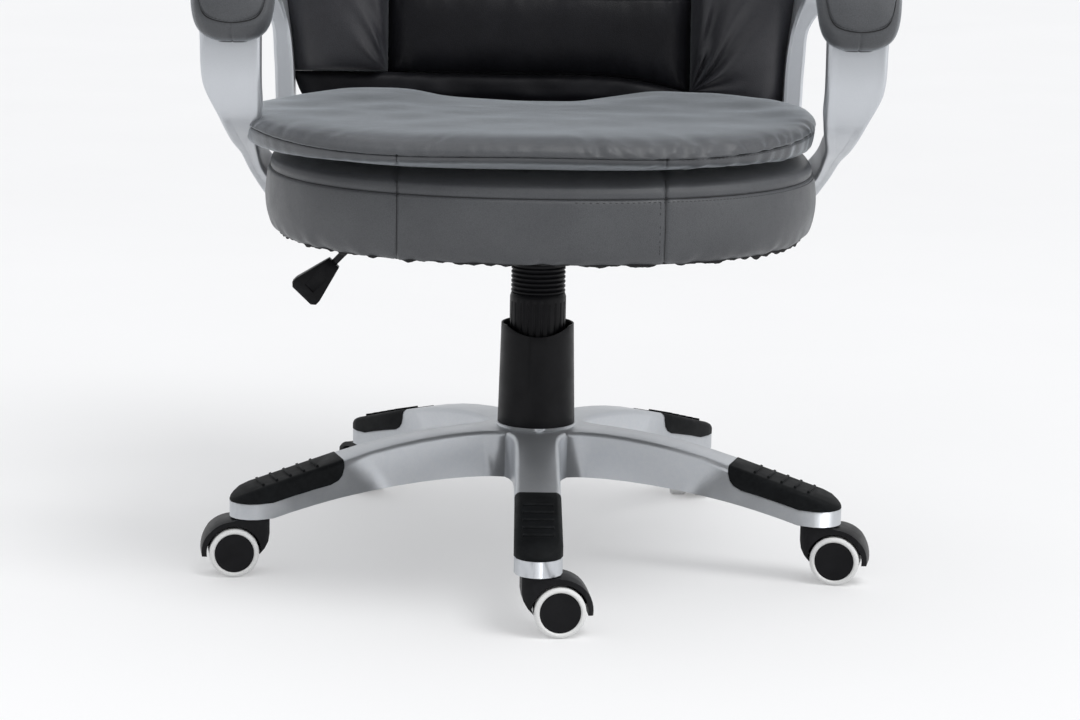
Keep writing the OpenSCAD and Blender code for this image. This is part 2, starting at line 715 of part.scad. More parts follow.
// Rings of a bend at corner k: [centre, heading]
function rod_bend(k, steps) = let(a = heading(k - 1), turn = heading(k) - a,
        start = lever_path[k] - ahead(a) * rod_bend_r * tan(turn / 2),
        middle = start + ahead(a + 90) * rod_bend_r)
    [for (s = [0:steps]) let(h = a + turn * s / steps) [middle - ahead(h + 90) * rod_bend_r, h]];
function rod_ring(c, h) = [for (k = [0:rod_sides - 1]) let(b = k * 360 / rod_sides,
        p = c + ahead(h + 90) * rod_bent_r * cos(b)) [p[0], rod_bent_r * sin(b), p[1]]];
module rod_end(from, to) {
    run = to - from;
    translate([from[0], 0, from[1]]) rotate([0, atan2(run[0], run[1]), 0])
        cylinder(d = lever_d, h = norm(run), $fn = round_fn);
}
module lever_rod() {
    inner = lever_path[1] + [4, 0];
    outer = lever_path[2] + ahead(heading(2)) * 16;
    color(steel) {
        rod_end(lever_path[0], lever_path[1]);
        mirror_rings([for (s = [[inner, heading(0)], each rod_bend(1, 1), each rod_bend(2, 4),
            [outer, heading(2)]]) rod_ring(s[0], s[1])]);
        rod_end(lever_path[2] + ahead(heading(2)) * 12, lever_path[3]);
    }
}

// Paddle grip, widening outward, with a shallow thumb recess on its front
grip_len = 47;
module lever_grip() {
    color(black) translate([lever_end[0], 0, lever_end[1]]) rotate([0, -grip_turn, 0])
        rotate([0, 180, 0]) difference() {
            hull() {
                translate([-1, -5, -7]) cube([2, 10, 14]);
                translate([grip_len * 0.12, -7, -8]) cube([2, 14, 16]);
                translate([grip_len - 9, -8, -17]) cube([5, 16, 34]);
                translate([grip_len - 1, -6, -13]) cube([1, 12, 26]);
            }
            // Hole for the rod and the thumb recess
            translate([-2, 0, 0]) rotate([0, 90, 0])
                cylinder(r = lever_d / 2 + fit, h = 16, $fn = round_fn);
            translate([grip_len * 0.34, -10.5, -6]) cube([grip_len * 0.42, 4, 12]);
        }
}

// Seat

plate_half_x = 95;
plate_y = [-118, 84];
bolt_x = 80;
bolt_ys = [-98, 66];
bolt_d = 6;
module seat_plate() {
    ear_y = [-pivot_front - 17, -pivot_front + 16];
    color(black) difference() {
        union() {
            translate([-plate_half_x, plate_y[0], plate_z])
                cube([2 * plate_half_x, plate_y[1] - plate_y[0], sheet_t]);
            for (side = [-1, 1]) translate([side * (mech_half_w + ear_gap + sheet_t / 2), 0, 0])
                side_extrude(sheet_t) polygon([
                    [ear_y[0] - 6, plate_z + eps], [ear_y[0], pivot_z - 4], [ear_y[0] + 8, pivot_z - 12],
                    [ear_y[1] - 8, pivot_z - 12], [ear_y[1], pivot_z - 4], [ear_y[1] + 2, plate_z + eps],
                ]);
        }
        for (x = [-bolt_x, bolt_x]) for (y = bolt_ys) translate([x, y, plate_z - eps])
            cylinder(d = bolt_d, h = sheet_t + 2 * eps, $fn = round_fn);
        translate([0, -pivot_front, pivot_z]) rotate([0, 90, 0])
            cylinder(r = pivot_d / 2 + fit, h = 2 * plate_half_x, center = true, $fn = round_fn);
    }
}

// Hexagon-head screw pointing along +Z from the underside of what it holds
module screw(d, grip, head_h) {
    translate([0, 0, -head_h]) cylinder(d = 2 * d, h = head_h, $fn = 6);
    translate([0, 0, -head_h / 2]) cylinder(d = d, h = grip + head_h / 2, $fn = round_fn);
}
dust_t = 0.8;
pan_z = plate_top_z + dust_t;
bolt_in = 8;
bolt_head = 4;
module seat_bolts() {
    color(steel) for (x = [-bolt_x, bolt_x]) for (y = bolt_ys)
        translate([x, y, plate_z]) screw(bolt_d, sheet_t + dust_t + bolt_in, bolt_head);
}

// Plan of the seat: superellipse with its own depth in front of and behind the widest line
front_n = 2.3;
rear_n = 2.6;
plan_steps = 44;
function plan_point(a, w, front, rear) = let(c = cos(a), s = sin(a), n = s < 0 ? front_n : rear_n)
    [w * spow(c, 2 / n), (s < 0 ? front : rear) * spow(s, 2 / n) - seat_shift];
function plan(w, front, rear, steps) =
    [for (k = [0:steps - 1]) plan_point(k * 360 / steps, w, front, rear)];
module seat_bolt_holes(z, h) {
    for (x = [-bolt_x, bolt_x]) for (y = bolt_ys) translate([x, y, z])
        cylinder(d = bolt_d, h = h, $fn = round_fn);
    for (p = arm_bolt_points()) translate([p[0], p[1], z]) cylinder(d = bolt_d, h = h, $fn = round_fn);
    for (x = [-bracket_bolt_x, bracket_bolt_x]) translate([x, bracket_bolt_y, z])
        cylinder(d = bolt_d, h = h, $fn = round_fn);
}
module seat_pan() {
    in = pan_inset;
    color(ply) difference() {
        translate([0, 0, pan_z]) linear_extrude(pan_t)
            polygon(plan(seat_half_w - in, seat_front - in, seat_rear - in, plan_steps));
        seat_bolt_holes(pan_z - eps, bolt_in + eps);
    }
}
module dust_cover() {
    in = pan_inset + 1;
    color(black) difference() {
        translate([0, 0, plate_top_z]) linear_extrude(dust_t)
            polygon(plan(seat_half_w - in, seat_front - in, seat_rear - in, plan_steps));
        seat_bolt_holes(plate_top_z - eps, dust_t + 2 * eps);
    }
}

// Lower cushion: [inset, height] from the pan's recess round the border to the flat top
module seat_cushion() {
    low = pan_z - 0.6;
    profile = [
        [pan_inset - 0.4, pan_z + pan_t + 0.1], [pan_inset - 0.4, low + 1], [pan_inset - 6, low],
        [13, low + 1], [6, low + 7], [1.8, low + 18], [0, low + 34], [0.8, low + 50],
        [3, seat_seam_z - 4], [5.5, seat_seam_z], [5, seat_seam_z + 3], [16, seat_seam_z + 9],
        [42, seat_top_z - 1], [72, seat_top_z],
    ];
    color(leather) skin([for (p = profile)
        [for (q = plan(seat_half_w - p[0], seat_front - p[0], seat_rear - p[0], plan_steps))
            [q[0], q[1], p[1]]]]);
}

// Upper pad: crowned, its edge lifting at the sides, two humps behind and a dip between
topper_low_z = seat_top_z + 0.2;
edge_lift = 12;
function topper_shape(x, y, top) =
    top * (5 * bell(abs(x) - 168, 90) * bell(y - 105, 80) - 15 * bell(x, 95) * bell(y - 165, 90));
module seat_topper() {
    // [inset, height, share of the edge's lift, share of the top's shape]
    profile = [
        [66, 0, 0, 0], [44, 3, 0.2, 0], [20, 8, 0.4, 0], [7, 10.5, 0.6, 0], [1, 13, 0.8, 0],
        [0, 15.5, 1, 0], [2, 17, 1, 0], [0.5, 19, 1, 0.1], [2.5, 25, 1, 0.3], [10, topper_t - 5.5, 0.9, 0.6],
        [32, topper_t - 1, 0.5, 0.9], [80, topper_t, 0.1, 1], [150, topper_t + 1, 0, 1],
    ];
    color(leather) skin([for (p = profile)
        [for (q = plan(topper_half_w - p[0], topper_front - p[0], topper_rear - p[0], plan_steps))
            [q[0], q[1], topper_low_z + p[1] + edge_lift * p[2] * pow(abs(q[0]) / topper_half_w, 3)
                + topper_shape(q[0], q[1], p[3])]]]);
}

// Arms

// Stations of the right arm's loop: [y, z, inner x, outer x, thickness in the loop's plane]
arm_in_x = arm_out_x - arm_band_w;
arm_stations = [
    [-140, 545, arm_in_x, arm_out_x, arm_band_t],
    [-140, 505, arm_in_x, arm_out_x - 3, arm_band_t],
    [-127, 474, arm_in_x, arm_out_x - 18, arm_band_t],
    [-85, 451, 282, 309, arm_band_t + 2],
    [-40, 434, 284, 303, arm_band_t + 4],
    [15, 411, 283, 299, arm_band_t + 6],
    [65, 386, 272, 291, arm_band_t + 8],
    [108, 363, 259, 281, 34],
    [145, 368, 257, 280, 38],
    [174, 405, 259, 280, 40],
    [186, 450, 262, 282, 42],
    [190, 498, 264, 284, 42],
    [187, 545, 270, 289, 40],
    [162, 582, 279, 313, 30],
    [105, arm_top_z - 2, 282, 325, 20],
    [40, arm_top_z, 283, 325, 18],
    [-60, arm_top_z, 282, 326, 18],
    [-112, arm_top_z - 6, 278, 330, 20],
    [-136, 575, arm_in_x, arm_out_x, 23],
];
arm_substeps = 3;
function spline(p0, p1, p2, p3, t) = 0.5 * (2 * p1 + (p2 - p0) * t
    + (2 * p0 - 5 * p1 + 4 * p2 - p3) * t * t + (3 * p1 - p0 - 3 * p2 + p3) * t * t * t);
function arm_at(s) = let(n = len(arm_stations), i = floor(s), t = s - i)
    spline(arm_stations[(i + n - 1) % n], arm_stations[i % n], arm_stations[(i + 1) % n],
        arm_stations[(i + 2) % n], t);
function arm_normal(s) = let(n = len(arm_stations), a = arm_at((s + n - 0.05) % n),
    b = arm_at((s + 0.05) % n), t = [b[0] - a[0], b[1] - a[1]] / norm([b[0] - a[0], b[1] - a[1]]))
    [t[1], -t[0]];

// Section of the arm: smooth inside, beads along both edges of the outer face
function arm_section(w, h) = let(w2 = w / 2, h2 = h / 2, bead = min(5, w / 5), sink = 1.8, r = 3) [
    [-w2 + r, -h2], [w2 - r, -h2], [w2, -h2 + r], [w2, h2 - 2], [w2 - 1.5, h2], [w2 - bead, h2],
    [w2 - bead - 2, h2 - sink], [-w2 + bead + 2, h2 - sink], [-w2 + bead, h2], [-w2 + 1.5, h2],
    [-w2, h2 - 2], [-w2, -h2 + r],
];
function arm_ring(s) = let(p = arm_at(s), n = arm_normal(s))
    [for (q = arm_section(p[3] - p[2], p[4]))
        [(p[2] + p[3]) / 2 + q[0], p[0] + n[0] * q[1], p[1] + n[1] * q[1]]];

foot_z = plate_top_z;
foot_t = 9;
foot_x = [188, 263];
foot_y = [72, 150];
arm_bolt_y = [84, 112];
arm_bolt_x = 204;
function arm_bolt_points() = [for (side = [-1, 1]) for (y = arm_bolt_y) [side * arm_bolt_x, y]];
back_boss_z = [506, 550];
module arm_frame() {
    color(silver) difference() {
        union() {
            loop_skin([for (k = [0:len(arm_stations) * arm_substeps - 1]) arm_ring(k / arm_substeps)]);
            // Foot that reaches under the seat pan
            translate([foot_x[0], foot_y[0], foot_z - foot_t])
                cube([foot_x[1] - foot_x[0], foot_y[1] - foot_y[0], foot_t]);
        }
        for (y = arm_bolt_y) translate([arm_bolt_x, y, foot_z - foot_t - eps])
            cylinder(d = bolt_d, h = foot_t + 2 * eps, $fn = round_fn);
        // Screw holes to the back, with sunk seats for the heads
        for (z = back_boss_z) translate([stile_x, back_screw_y, z]) rotate([0, 90, 0]) {
            cylinder(d = bolt_d, h = 80, $fn = round_fn);
            translate([0, 0, screw_head_x - stile_x]) cylinder(d = 2 * bolt_d + 3, h = 20, $fn = round_fn);
        }
    }
}
screw_head_x = 279;
back_screw_y = 197;

// Arm pad: carried over the top bar and down in front of the band
pad_scale = [[14.2, 0.62], [14.45, 0.9], [15, 1], [17, 1], [17.5, 0.98], [18, 0.94], [18.35, 0.88],
    [18.6, 0.77], [18.75, 0.6], [18.82, 0.42]];
// Between its ends the pad has its rings where the band has them, so that both bend alike
pad_s = concat([14.2], [for (k = [43:55]) k / arm_substeps], [18.6, 18.75, 18.82]);
function pad_section(w, t) = [for (p = [
    [-0.36, 0], [0.36, 0], [0.46, 0.1], [0.5, 0.32], [0.49, 0.56], [0.45, 0.8], [0.3, 0.96], [0, 1],
    [-0.3, 0.96], [-0.45, 0.8], [-0.49, 0.56], [-0.5, 0.32], [-0.46, 0.1],
]) [p[0] * w, p[1] * t]];
function pad_ring(s, k) = let(p = arm_at(s), n = arm_normal(s), lift = p[4] / 2 + run_gap,
    wk = lerp(1, k, 0.6))
    [for (q = pad_section(arm_pad_w * wk, arm_pad_t * k))
        [(p[2] + p[3]) / 2 + q[0], p[0] + n[0] * (q[1] + lift), p[1] + n[1] * (q[1] + lift)]];
module arm_pad() {
    color(leather) skin([for (s = pad_s) pad_ring(s, lookup(s, pad_scale))]);
}

module arm_bolts() {
    color(steel) for (p = arm_bolt_points()) translate([p[0], p[1], foot_z - foot_t])
        screw(bolt_d, foot_t + pan_z - foot_z + bolt_in, bolt_head);
}

// Back

back_y = 224;
back_z = seat_top_z + 1.8;
module in_back() {
    translate([0, back_y, back_z]) rotate([-back_slope, 0, 0]) children();
}

// Half width of the back at a height above its foot
widest_v = 300;
foot_corner = [26, 50];
function corner_in(v) = v > foot_corner[1] ? 0 :
    foot_corner[0] * (1 - sqrt(1 - pow((foot_corner[1] - v) / foot_corner[1], 2)));
function back_hw(v) = v < widest_v ?
    lerp(back_foot_hw, back_max_hw, sin(90 * max(v, 0) / widest_v)) - corner_in(max(v, 0)) :
    back_max_hw - 55 * pow((v - widest_v) / (back_h - widest_v), 2);

board_inset = 16;
board_top = back_h - 24;
corner_v = 90;
// Outline of the board: side curves and an arc over each upper corner
function board_half() = [
    each [for (v = [8, 20, 40, 60]) [back_hw(v) - board_inset, v]],
    each [for (v = [100:50:board_top - corner_v - 20]) [back_hw(v) - board_inset, v]],
    each [for (a = [0:15:90]) [back_hw(board_top - corner_v) - board_inset - corner_v * (1 - cos(a)),
        board_top - corner_v + corner_v * sin(a)]],
];
function mirrored(half) = concat(half, [for (k = [len(half) - 1:-1:0]) [-half[k][0], half[k][1]]]);
stile_w = 22;
stile_v = [56, 140];
stile_x = back_foot_hw - board_inset - 14;
stile_depth = 50;
module back_board() {
    color(ply) difference() {
        union() {
            in_back() translate([0, board_t, 0]) rotate([90, 0, 0]) linear_extrude(board_t)
                polygon(mirrored(board_half()));
            // Stiles on the board's face that take the arms' screws
            for (side = [-1, 1]) in_back() translate([side * stile_x - stile_w / 2,
                -stile_depth, stile_v[0]]) cube([stile_w, stile_depth + eps, stile_v[1] - stile_v[0]]);
        }
        back_screw_holes();
        for (x = [-bracket_bolt_x, bracket_bolt_x]) in_back() translate([x, board_t + eps, bracket_bolt_v])
            rotate([90, 0, 0]) cylinder(d = bolt_d, h = bolt_in + eps, $fn = round_fn);
    }
}
screw_tip_x = stile_x - 6;
module back_screw_holes() {
    for (side = [-1, 1]) for (z = back_boss_z) translate([side * screw_tip_x, back_screw_y, z])
        rotate([0, side * 90, 0]) cylinder(d = bolt_d, h = 60, $fn = round_fn);
}

// Long screws from the arm uprights into the stiles of the board
module back_bolts() {
    color(steel) for (side = [-1, 1]) for (z = back_boss_z) translate([0, back_screw_y, z]) {
        translate([side * screw_tip_x, 0, 0]) rotate([0, side * 90, 0])
            cylinder(d = bolt_d, h = screw_head_x - screw_tip_x + 2, $fn = round_fn);
        translate([side * screw_head_x, 0, 0]) rotate([0, side * 90, 0])
            cylinder(d = 2 * bolt_d, h = 4, $fn = 6);
    }
}

// Steel bracket from under the seat pan up behind the board
bracket_w = 90;
bracket_t = 3;
bracket_bolt_x = 30;
bracket_bolt_y = 150;
bracket_bolt_v = 70;
bracket_top_v = 96;
// Outer or inner face line of the bracket's upright leaf
function rear_point(v, w) = [back_y + v * sin(back_slope) + w * cos(back_slope),
    back_z + v * cos(back_slope) - w * sin(back_slope)];
function rear_lines(d, down = false) = down ?
    [rear_point(bracket_top_v, board_t + d), rear_point(-30, board_t + d)] :
    [rear_point(-30, board_t + d), rear_point(bracket_top_v, board_t + d)];
module back_bracket() {
    run = [120, 225];
    low = plate_top_z - bracket_t;
    color(black) difference() {
        union() {
            side_extrude(bracket_w) polygon([
                [run[0], low], [run[1], low], [run[1] + 8, low + 3], [run[1] + 12, low + 10],
                each rear_lines(bracket_t), each rear_lines(0, true),
                [run[1] + 9, low + 12], [run[1] + 6, low + bracket_t + 2.5], [run[1], low + bracket_t],
                [run[0], low + bracket_t],
            ]);
        }
        for (x = [-bracket_bolt_x, bracket_bolt_x]) {
            translate([x, bracket_bolt_y, low - eps])
                cylinder(d = bolt_d, h = bracket_t + 2 * eps, $fn = round_fn);
            in_back() translate([x, board_t + bracket_t + eps, bracket_bolt_v]) rotate([90, 0, 0])
                cylinder(d = bolt_d, h = bracket_t + 2 * eps, $fn = round_fn);
        }
    }
}

// Bolts of the bracket: two up into the pan and two forward into the board
module bracket_bolts() {
    color(steel) for (x = [-bracket_bolt_x, bracket_bolt_x]) {
        translate([x, bracket_bolt_y, plate_top_z - bracket_t])
            screw(bolt_d, bracket_t + dust_t + bolt_in, bolt_head);
        in_back() translate([x, board_t + bracket_t, bracket_bolt_v]) rotate([90, 0, 0])
            screw(bolt_d, bracket_t + bolt_in, bolt_head);
    }
}

// Centre panel as a grid: channels cross it and its edges turn in
channels = [124, 236, 348];
panel_v = [42, 462];
function channel_dip(v) = 9 * max([for (c = channels) bell(v - c, 9)]);
function panel_front(x, v) = let(side = 1 - pow(abs(x) / panel_hw, 6),
        ends = 1 - pow(abs(2 * (v - panel_v[0]) / (panel_v[1] - panel_v[0]) - 1), 14))
    -(back_pad_t * (0.62 + 0.38 * pow(max(0, side), 0.7) * pow(max(0, ends), 0.7))
        - channel_dip(v) * max(0, side));
panel_rows = [
    42, 49, 66, 94, 112, 120, 124, 128, 138, 160, 186, 212, 226, 232, 236, 240, 248, 270, 296, 324,
    338, 344, 348, 352, 362, 384, 420, 446, 457, 462,
];
panel_cols = [-1, -0.95, -0.82, -0.5, 0, 0.5, 0.82, 0.95, 1];
module back_panel() {
    color(leather) in_back() skin([for (v = panel_rows) [
        for (c = panel_cols) [c * panel_hw, panel_front(c * panel_hw, v), v],
        [panel_hw, 0, v], [-panel_hw, 0, v],
    ]]);
}

// A side bolster between the panel and the back's outer edge
bolster_v = [41.4, 690];
bolster_mid = 300;
bolster_rows = [
    41.4, 43, 48, 60, 86, 125, 170, 220, 275, 330, 385, 440, 490, 540, 580, 615, 642, 662, 676, 685, 690,
];
function bolster_end(v) = v < bolster_mid ?
    pow(max(0, 1 - pow((bolster_mid - v) / (bolster_mid - bolster_v[0]), 24)), 0.5) :
    pow(max(0, 1 - pow((v - bolster_mid) / (bolster_v[1] - bolster_mid), 7)), 0.5);
stile_clear = 0.3;
module bolster() {
    color(leather) difference() {
        in_back() skin([for (v = bolster_rows) let(
            in_x = panel_hw + 0.4,
            keep = v < bolster_mid ? 0.95 : 0.5,
            out_x = in_x + (back_hw(v) - in_x) * (keep + (1 - keep) * bolster_end(v)),
            w = out_x - in_x, t = (back_pad_t + 10) * (0.8 + 0.2 * bolster_end(v)))
            [
                [in_x, 0, v], [in_x, -t * 0.55, v], [in_x + w * 0.08, -t * 0.8, v],
                [in_x + w * 0.3, -t * 0.97, v],
                [in_x + w * 0.5, -t, v], [in_x + w * 0.74, -t * 0.93, v], [in_x + w * 0.91, -t * 0.76, v],
                [in_x + w * 0.985, -t * 0.56, v], [in_x + w, -t * 0.36, v], [in_x + w * 0.985, -t * 0.16, v],
                [in_x + w * 0.94, 0, v],
            ]]);
        in_back() translate([stile_x - stile_w / 2 - stile_clear, -stile_depth - stile_clear,
            stile_v[0] - stile_clear])
            cube([stile_w + 2 * stile_clear, stile_depth + 2, stile_v[1] - stile_v[0] + 2 * stile_clear]);
        for (z = back_boss_z) translate([stile_x - stile_w, back_screw_y, z]) rotate([0, 90, 0])
            cylinder(r = bolt_d / 2 + 1, h = 100, $fn = round_fn);
    }
}

// Roll along the back's foot
roll_v = [10, 41];
module back_roll() {
    rows = [for (k = [0:8]) roll_v[0] + (roll_v[1] - roll_v[0]) * (0.5 - 0.5 * cos(k * 22.5))];
    cols = [-1, -0.985, -0.93, -0.8, -0.5, 0, 0.5, 0.8, 0.93, 0.985, 1];
    color(leather) in_back() skin([for (v = rows) let(
            b = abs(2 * (v - roll_v[0]) / (roll_v[1] - roll_v[0]) - 1), k = pow(max(0, 1 - pow(b, 4)), 0.5))
        [
            for (c = cols) let(e = pow(max(0, 1 - pow(abs(c), 8)), 0.5))
                [c * (back_hw(v) - 1), -back_pad_t * (0.62 + 0.38 * k * e), v],
            [back_hw(v) - 1, 0, v], [1 - back_hw(v), 0, v],
        ]]);
}

// Headrest pillow above the panel
head_v = [463, 694];
module headrest() {
    rows = [for (k = [0:14]) head_v[0] + (head_v[1] - head_v[0]) * (0.5 - 0.5 * cos(k * 180 / 14))];
    cols = [-1, -0.94, -0.8, -0.45, 0, 0.45, 0.8, 0.94, 1];
    color(leather) in_back() skin([for (v = rows) let(
            b = abs(2 * (v - head_v[0]) / (head_v[1] - head_v[0]) - 1), k = pow(max(0, 1 - pow(b, 5)), 0.5))
        [
            for (c = cols) let(e = pow(max(0, 1 - pow(abs(c), 5)), 0.5))
                [c * (panel_hw - 0.4) * (v > 600 ? lerp(1, 0.86, (v - 600) / (head_v[1] - 600)) : 1),
                    -(back_pad_t * 0.5 + (back_pad_t * 0.5 + 26) * k * e), v],
            [(panel_hw - 0.4) * (v > 600 ? lerp(1, 0.86, (v - 600) / (head_v[1] - 600)) : 1), 0, v],
            [-(panel_hw - 0.4) * (v > 600 ? lerp(1, 0.86, (v - 600) / (head_v[1] - 600)) : 1), 0, v],
        ]]);
}

// Upholstered rear cover, crowned, with a pocket for the bracket
cover_t = 16;
pocket_gap = 2;
module back_cover() {
    front = board_t + 0.2;
    levels = [[0, 0], [0, 6], [5, 11], [18, cover_t - 1], [60, cover_t]];
    outline = mirrored(board_half());
    color(leather) difference() {
        in_back() skin([for (level = levels) [for (k = [len(outline) - 1:-1:0])
            let(p = outline[k], mid_v = board_top / 2,
            kx = 1 - level[0] / back_max_hw, kv = 1 - level[0] / mid_v)
            [p[0] * kx, front + level[1], mid_v + (p[1] - mid_v) * kv]]]);
        in_back() translate([-bracket_w / 2 - pocket_gap, board_t - 1, -20])
            cube([bracket_w + 2 * pocket_gap, bracket_t + bolt_head + pocket_gap,
                bracket_top_v + 20 + 2 * pocket_gap]);
    }
}

star_base();
foot_pads();
caster_stems();
column_tube();
guide_bush();
thrust_bearing();
cover_lower();
piston_rod();
retaining_clip();
cover_middle();
gas_cylinder();
cover_upper();
mechanism_housing();
pivot_pin();
tilt_spring();
release_pin();
lever_bush();
lever_rod();
lever_grip();
seat_plate();
seat_bolts();
seat_pan();
dust_cover();
seat_cushion();
seat_topper();
mirror([1, 0, 0]) arm_frame();  // arm_frame_left
arm_frame();  // arm_frame_right
mirror([1, 0, 0]) arm_pad();  // arm_pad_left
arm_pad();  // arm_pad_right
arm_bolts();
back_board();
back_bolts();
back_bracket();
bracket_bolts();
back_panel();
mirror([1, 0, 0]) bolster();  // back_bolster_left
bolster();  // back_bolster_right
back_roll();
headrest();
back_cover();
for (i = [0:4]) {
    caster_hood(i);
    caster_axle(i);
    wheel_hubs(i);
    wheel_treads(i);
}
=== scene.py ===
import json
from itertools import product
from math import pi, radians
import bpy
import bmesh
import numpy as np
from mathutils import Euler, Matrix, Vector


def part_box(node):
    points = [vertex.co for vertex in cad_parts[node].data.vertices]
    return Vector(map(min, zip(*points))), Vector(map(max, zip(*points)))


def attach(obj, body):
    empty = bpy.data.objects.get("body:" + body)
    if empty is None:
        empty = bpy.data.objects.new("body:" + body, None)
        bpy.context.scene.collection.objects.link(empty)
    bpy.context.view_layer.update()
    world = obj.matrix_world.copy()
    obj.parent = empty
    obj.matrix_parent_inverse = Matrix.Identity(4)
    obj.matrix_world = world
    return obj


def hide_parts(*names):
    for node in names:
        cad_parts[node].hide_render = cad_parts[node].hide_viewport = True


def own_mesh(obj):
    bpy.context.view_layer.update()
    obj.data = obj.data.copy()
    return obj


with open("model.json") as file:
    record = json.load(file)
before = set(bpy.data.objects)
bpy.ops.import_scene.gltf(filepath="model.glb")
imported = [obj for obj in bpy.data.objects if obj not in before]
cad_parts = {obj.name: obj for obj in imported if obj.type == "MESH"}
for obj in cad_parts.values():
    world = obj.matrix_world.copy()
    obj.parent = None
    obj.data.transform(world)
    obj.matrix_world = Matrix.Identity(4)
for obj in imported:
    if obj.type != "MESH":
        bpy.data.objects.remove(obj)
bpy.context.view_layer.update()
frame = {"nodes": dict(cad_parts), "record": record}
mm = 0.001
print("frame loaded:", len(frame["nodes"]), "nodes")


def newObject(name, data):
    made = bpy.data.objects.new(name, data)
    bpy.context.scene.collection.objects.link(made)
    return made


# Camera: it looks down a little on the front of the chair, turned and rolled a trifle
cameraSet = dict(place=(-0.0490, -3.2375, 0.8578), lookDown=0.1989, turn=-0.0161, roll=0.0175, lens=106.30, sensor=36)


def addCamera(c):
    data = bpy.data.cameras.new("camera")
    data.lens, data.sensor_width = c["lens"], c["sensor"]
    camera = newObject("camera", data)
    aim = Euler((0, 0, c["turn"])).to_matrix() @ Euler((pi / 2 - c["lookDown"], 0, 0)).to_matrix()
    camera.matrix_world = (aim @ Euler((0, 0, c["roll"])).to_matrix()).to_4x4()
    camera.location = c["place"]
    bpy.context.scene.camera = camera


addCamera(cameraSet)


# Arrays to meshes

def meshFrom(name, points, quads, tris=None):
    # Outward faces: the signed volume of all faces tells whether they have to turn round
    quads = np.asarray(quads, int).reshape(-1, 4)
    tris = np.zeros((0, 3), int) if tris is None else np.asarray(tris, int).reshape(-1, 3)
    flat = np.vstack([quads[:, [0, 1, 2]], quads[:, [0, 2, 3]], tris])
    a, b, c = points[flat[:, 0]], points[flat[:, 1]], points[flat[:, 2]]
    if np.einsum("ij,ij->", a, np.cross(b, c)) < 0:
        quads, tris = quads[:, ::-1], tris[:, ::-1]
    mesh = bpy.data.meshes.new(name)
    mesh.vertices.add(len(points))
    mesh.vertices.foreach_set("co", points.astype(np.float32).ravel())
    corners = np.concatenate([quads.ravel(), tris.ravel()])
    sizes = np.concatenate([np.full(len(quads), 4), np.full(len(tris), 3)])
    mesh.loops.add(len(corners))
    mesh.loops.foreach_set("vertex_index", corners.astype(np.int32))
    mesh.polygons.add(len(sizes))
    mesh.polygons.foreach_set("loop_start", np.concatenate([[0], np.cumsum(sizes)[:-1]]).astype(np.int32))
    mesh.update(calc_edges=True)
    mesh.validate()
    mesh.shade_smooth()
    return newObject(name, mesh)


def gridQuads(rows, cols, wrapRows, wrapCols):
    r = np.arange(rows if wrapRows else rows - 1)[:, None]
    c = np.arange(cols if wrapCols else cols - 1)[None, :]
    r2, c2 = (r + 1) % rows, (c + 1) % cols
    return np.stack([r * cols + c, r * cols + c2, r2 * cols + c2, r2 * cols + c], -1).reshape(-1, 4)


def surface(name, grid, wrapRows=False, wrapCols=True):
    # A rows x columns grid of points; the two ends of an open tube close in a fan to their mean
    rows, cols = grid.shape[:2]
    points = grid.reshape(-1, 3)
    tris = None
    if not wrapRows and wrapCols:
        points = np.vstack([points, grid[0].mean(0), grid[-1].mean(0)])
        ring = np.arange(cols)
        ahead = (ring + 1) % cols
        last = (rows - 1) * cols
        tris = np.vstack([
            np.stack([np.full(cols, rows * cols), ahead, ring], 1),
            np.stack([np.full(cols, rows * cols + 1), last + ring, last + ahead], 1),
        ])
    return meshFrom(name, points, gridQuads(rows, cols, wrapRows, wrapCols), tris)


def gridNormals(grid, wrapRows=False, wrapCols=True):
    # Cross product of the steps along the rows and along the columns, pointing away from the middle
    def step(axis, wrap):
        if wrap:
            return np.roll(grid, -1, axis) - np.roll(grid, 1, axis)
        return np.gradient(grid, axis=axis)
    n = np.cross(step(1, wrapCols), step(0, wrapRows))
    n /= np.linalg.norm(n, axis=2, keepdims=True) + 1e-12
    out = grid - grid.reshape(-1, 3).mean(0)
    return n if (n * out).sum() > 0 else -n


def smoothRun(points, perSpan, closed=False):
    # Catmull-Rom curve through points of any dimension, perSpan samples to each stretch
    p = np.asarray(points, float)
    if closed:
        padded = np.vstack([p[-1], p, p[0], p[1]])
    else:
        padded = np.vstack([2 * p[0] - p[1], p, 2 * p[-1] - p[-2]])
    spans = len(p) if closed else len(p) - 1
    t = np.linspace(0, 1, perSpan, endpoint=False)[None, :, None]
    a, b, c, d = (padded[k:k + spans, None, :] for k in range(4))
    run = 0.5 * (2 * b + (c - a) * t + (2 * a - 5 * b + 4 * c - d) * t * t + (3 * b - a - 3 * c + d) * t ** 3)
    run = run.reshape(-1, p.shape[1])
    return run if closed else np.vstack([run, p[-1]])


def evenRun(path, count, closed=False):
    # The same path with evenly spaced points
    path = np.vstack([path, path[:1]]) if closed else path
    far = np.concatenate([[0], np.cumsum(np.linalg.norm(np.diff(path, axis=0), axis=1))])
    s = np.linspace(0, far[-1], count, endpoint=not closed)
    return np.stack([np.interp(s, far, path[:, k]) for k in range(path.shape[1])], 1)


def bell(d, width):
    return np.exp(-(d / width) ** 2)


def dome(t):
    # From 1 at t = 0 down to 0 at t = 1, where it ends steeply
    return np.sqrt(np.clip(1 - t, 0, 1))


def softStep(value, at, softness):
    return 1 / (1 + np.exp((at - value) / softness))


def circle(count):
    return np.linspace(0, 2 * pi, count, endpoint=False)


